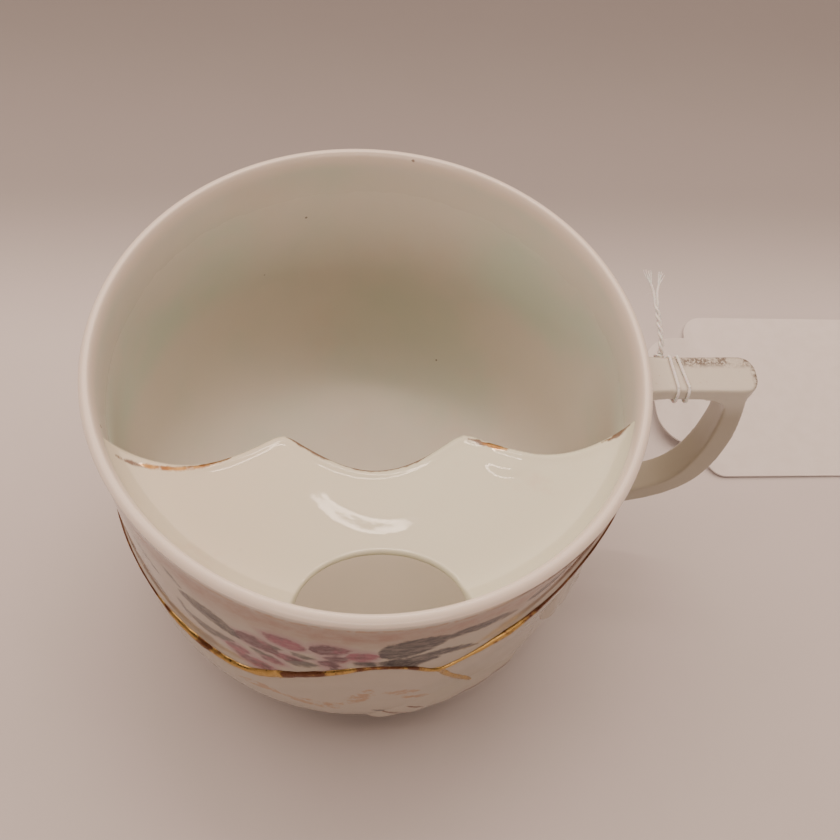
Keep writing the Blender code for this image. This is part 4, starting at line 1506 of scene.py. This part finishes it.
def fuzz(line, rng, count):
    """Short loose fibres that stand off a thread."""
    parts = []
    for _ in range(count):
        start = line[rng.randrange(2, len(line) - 2)]
        lean = Vector([rng.uniform(-1, 1) for _ in range(3)]).normalized()
        bend = Vector([rng.uniform(-1, 1) for _ in range(3)]).normalized()
        reach = rng.uniform(0.35, 0.75)
        fibre = []
        for t in np.linspace(0, 1, 5):
            fibre.append(start + lean * (THREAD_RADIUS * 0.6 + reach * t) + bend * 0.25 * t * t)
        parts.append(thread_tube(fibre, FUZZ_RADIUS, sides=4, taper=0.6, pitch=FIBRE_PITCH))
    return parts


def make_thread(material):
    """The wrap round the bar, the knot and its two free ends."""
    rng = random.Random(7)
    line = resample(smooth_path(wrap_course(), 3), 0.12)
    thread_piece("thread_wrap", [thread_tube(line), *fuzz(line, rng, 26)], material, "cup", "string_wrap")
    knot = []
    for i in range(KNOT_POINTS):
        t = 2 * math.pi * i / KNOT_POINTS
        ring = (2 + math.cos(3 * t)) * KNOT_SIZE
        at = Vector((ring * math.cos(2 * t), math.sin(3 * t) * KNOT_DEPTH, ring * math.sin(2 * t)))
        knot.append(Vector(KNOT_CENTRE) + at)
    tube = thread_tube(knot, radius=KNOT_THREAD_RADIUS, closed=True)
    thread_piece("thread_knot", [tube], material, "cup", "string_knot")
    for side, key in enumerate("ab"):
        course = tail_course(side)
        parts = frayed_tail(course, rng) + fuzz(course[: int(len(course) * 0.75)], rng, 40)
        thread_piece(f"thread_end_{key}", parts, material, "cup", f"string_end_{key}")


def make_strands(material):
    """The two strands from the knot down to the tag's loop."""
    places = smooth_path(STRAND_LINE, 12)
    for key, side in (("a", -0.5), ("b", 0.5)):
        path = []
        for i, place in enumerate(places):
            across = heading(places, i).cross(UP).normalized()
            path.append(place + across * side * STRAND_SPACING)
        path = resample(path, 0.2)
        obj = thread_piece(f"strand_{key}", [thread_tube(path)], material, "cup", f"tag_string_{key}")


def make_hitch(material):
    """The loop of thread through the tag's hole."""
    ring = []
    for a in np.linspace(0, 2 * math.pi, 97)[:-1]:
        x = HITCH_RING_RADIUS * math.cos(a)
        y = 0.22 * math.sin(a)
        ring.append(Vector(TAG_PIVOT) + Vector((x, y, HITCH_RING_RADIUS * math.sin(a))))
    thread_piece("tag_loop_thread", [thread_tube(ring, closed=True)], material, "tag_loop", "tag_hitch")


TAG_LENGTH = 73.0
TAG_HALF_WIDTH = 23.05
TAG_SLIP = 1.0  # how far the tag has slid sideways on its loop
TAG_END = -1.35
TAG_FAR = TAG_LENGTH + TAG_END
TAG_TAB_HALF = 7.0
TAG_SHOULDER_DEPTH = 5.5
# Tab depth, shoulder's half width and where the shoulder starts: the two sides were cut unevenly
TAG_SIDES = {1: (13.5, 16.4, 11.0), -1: (7.3, 15.5, 8.0)}
TAG_HOLE_CENTRE = 3.3
TAG_HOLE_RADIUS = 2.0
TAG_THICKNESS = 0.42
TAG_FAR_HEIGHT = 0.30  # of the far end's middle layer above the table
TAG_CORNER = 1.0
TAG_ROWS = 13
TAG_BOW = 0.88  # share of the slope that the card's own bending takes out past its hole


def tag_half_width(x, side):
    """Half the tag's width at each distance from its pivot: tab, shoulder, then straight sides."""
    depth, shoulder, start = TAG_SIDES[side]
    tab = 1 - np.clip((x - TAG_END) / depth, 0, 1)
    width = TAG_TAB_HALF + (shoulder - TAG_TAB_HALF) * np.sqrt(1 - tab**2)
    turn = 1 - np.clip((x - start) / TAG_SHOULDER_DEPTH, 0, 1)
    more = (TAG_HALF_WIDTH - shoulder) * np.sqrt(1 - turn**2)
    return np.where(x > start, shoulder + more, width)


def tag_lengthwise():
    """Distances along the tag, closer together where its outline or its hole turns."""
    hole = (TAG_HOLE_CENTRE - TAG_HOLE_RADIUS, TAG_HOLE_CENTRE + TAG_HOLE_RADIUS)
    stops = [TAG_END, *hole, TAG_FAR]
    for _, _, start in TAG_SIDES.values():
        stops += [start, start + TAG_SHOULDER_DEPTH]
    stops.sort()
    x = [TAG_END]
    for start, end in zip(stops, stops[1:]):
        count = 40 if end == TAG_FAR else 14
        x += list(start + (end - start) * (1 - np.cos(np.linspace(0, math.pi, count + 1)[1:])) / 2)
    return np.array(x)


def make_tag(material):
    """The blank card tag, made as two halves that meet along its middle."""
    x = tag_lengthwise()
    turn = np.clip((x - TAG_FAR) / TAG_CORNER + 1, 0, 1)
    cut = TAG_CORNER * (1 - np.sqrt(1 - turn**2))
    hole = np.sqrt(np.clip(TAG_HOLE_RADIUS**2 - (x - TAG_HOLE_CENTRE) ** 2, 0, None))
    share = np.linspace(0, 1, TAG_ROWS)
    slope = math.asin((TAG_PIVOT[2] - TAG_FAR_HEIGHT) / TAG_FAR)
    bow = -TAG_BOW * (TAG_FAR - x) * math.tan(slope) * ease((x - 1.0) / 13.0)
    last = (len(x) - 1) * TAG_ROWS
    starts = range(0, last + 1, TAG_ROWS)
    rim = [(b + TAG_ROWS - 1, a + TAG_ROWS - 1) for a, b in zip(starts, starts[1:])]
    for a, b, here, after in zip(starts, starts[1:], hole, hole[1:]):
        if max(here, after) > 1e-6:
            rim.append((a, b))
    for r in range(TAG_ROWS - 1):
        rim += [(r, r + 1), (last + r + 1, last + r)]
    halves = []
    for side in (1, -1):
        outer = tag_half_width(x, side) - cut
        y = side * (hole[:, None] + (outer - hole)[:, None] * share[None, :]).ravel()
        flat = np.stack([np.repeat(x, TAG_ROWS), y, np.repeat(bow, TAG_ROWS)], 1)
        lift = np.array([0, 0, TAG_THICKNESS / 2])
        points, faces = sheet(flat + lift, flat - lift, len(x), TAG_ROWS, rim)
        halves.append((points.tolist(), faces))
    points, faces = join_parts(halves)
    place = Matrix.Translation(Vector(TAG_PIVOT) + Vector((0, TAG_SLIP, 0)))
    place = place @ Matrix.Rotation(slope, 4, "Y")
    tag = mesh_object("card_tag", [tuple(place @ Vector(p)) for p in points], faces)
    clean(tag.data)
    tag.data.set_sharp_from_angle(angle=math.radians(50))
    return finish_piece(tag, material, "tag", "paper", "price_tag")


# ---------------------------------------------------------------- build

make_camera()
make_stage()
cotton_thread = cotton()
make_strands(cotton_thread)
make_cup_body(painted_glaze())
make_guard(guard_glaze())
make_handle(handle_glaze())
fine_course = ribbon_line(24)
ridge_along("gilt_ribbon", fine_course, True, ribbon_gilt(), "relief_ribbon")
branch_course = smooth_path(BRANCH_KEYS, 16)
ridge_along("gilt_ribbon_branch", branch_course, False, branch_gilt(), "relief_ribbon_branch")
relief_glaze = leaf_glaze()
make_leaf("leaf_base", "relief_leaf_base", LEAF_BASE, relief_glaze)
make_leaf("leaf_side", "relief_leaf_side", LEAF_SIDE, relief_glaze)
make_thread(cotton_thread)
make_hitch(cotton_thread)
make_tag(card())
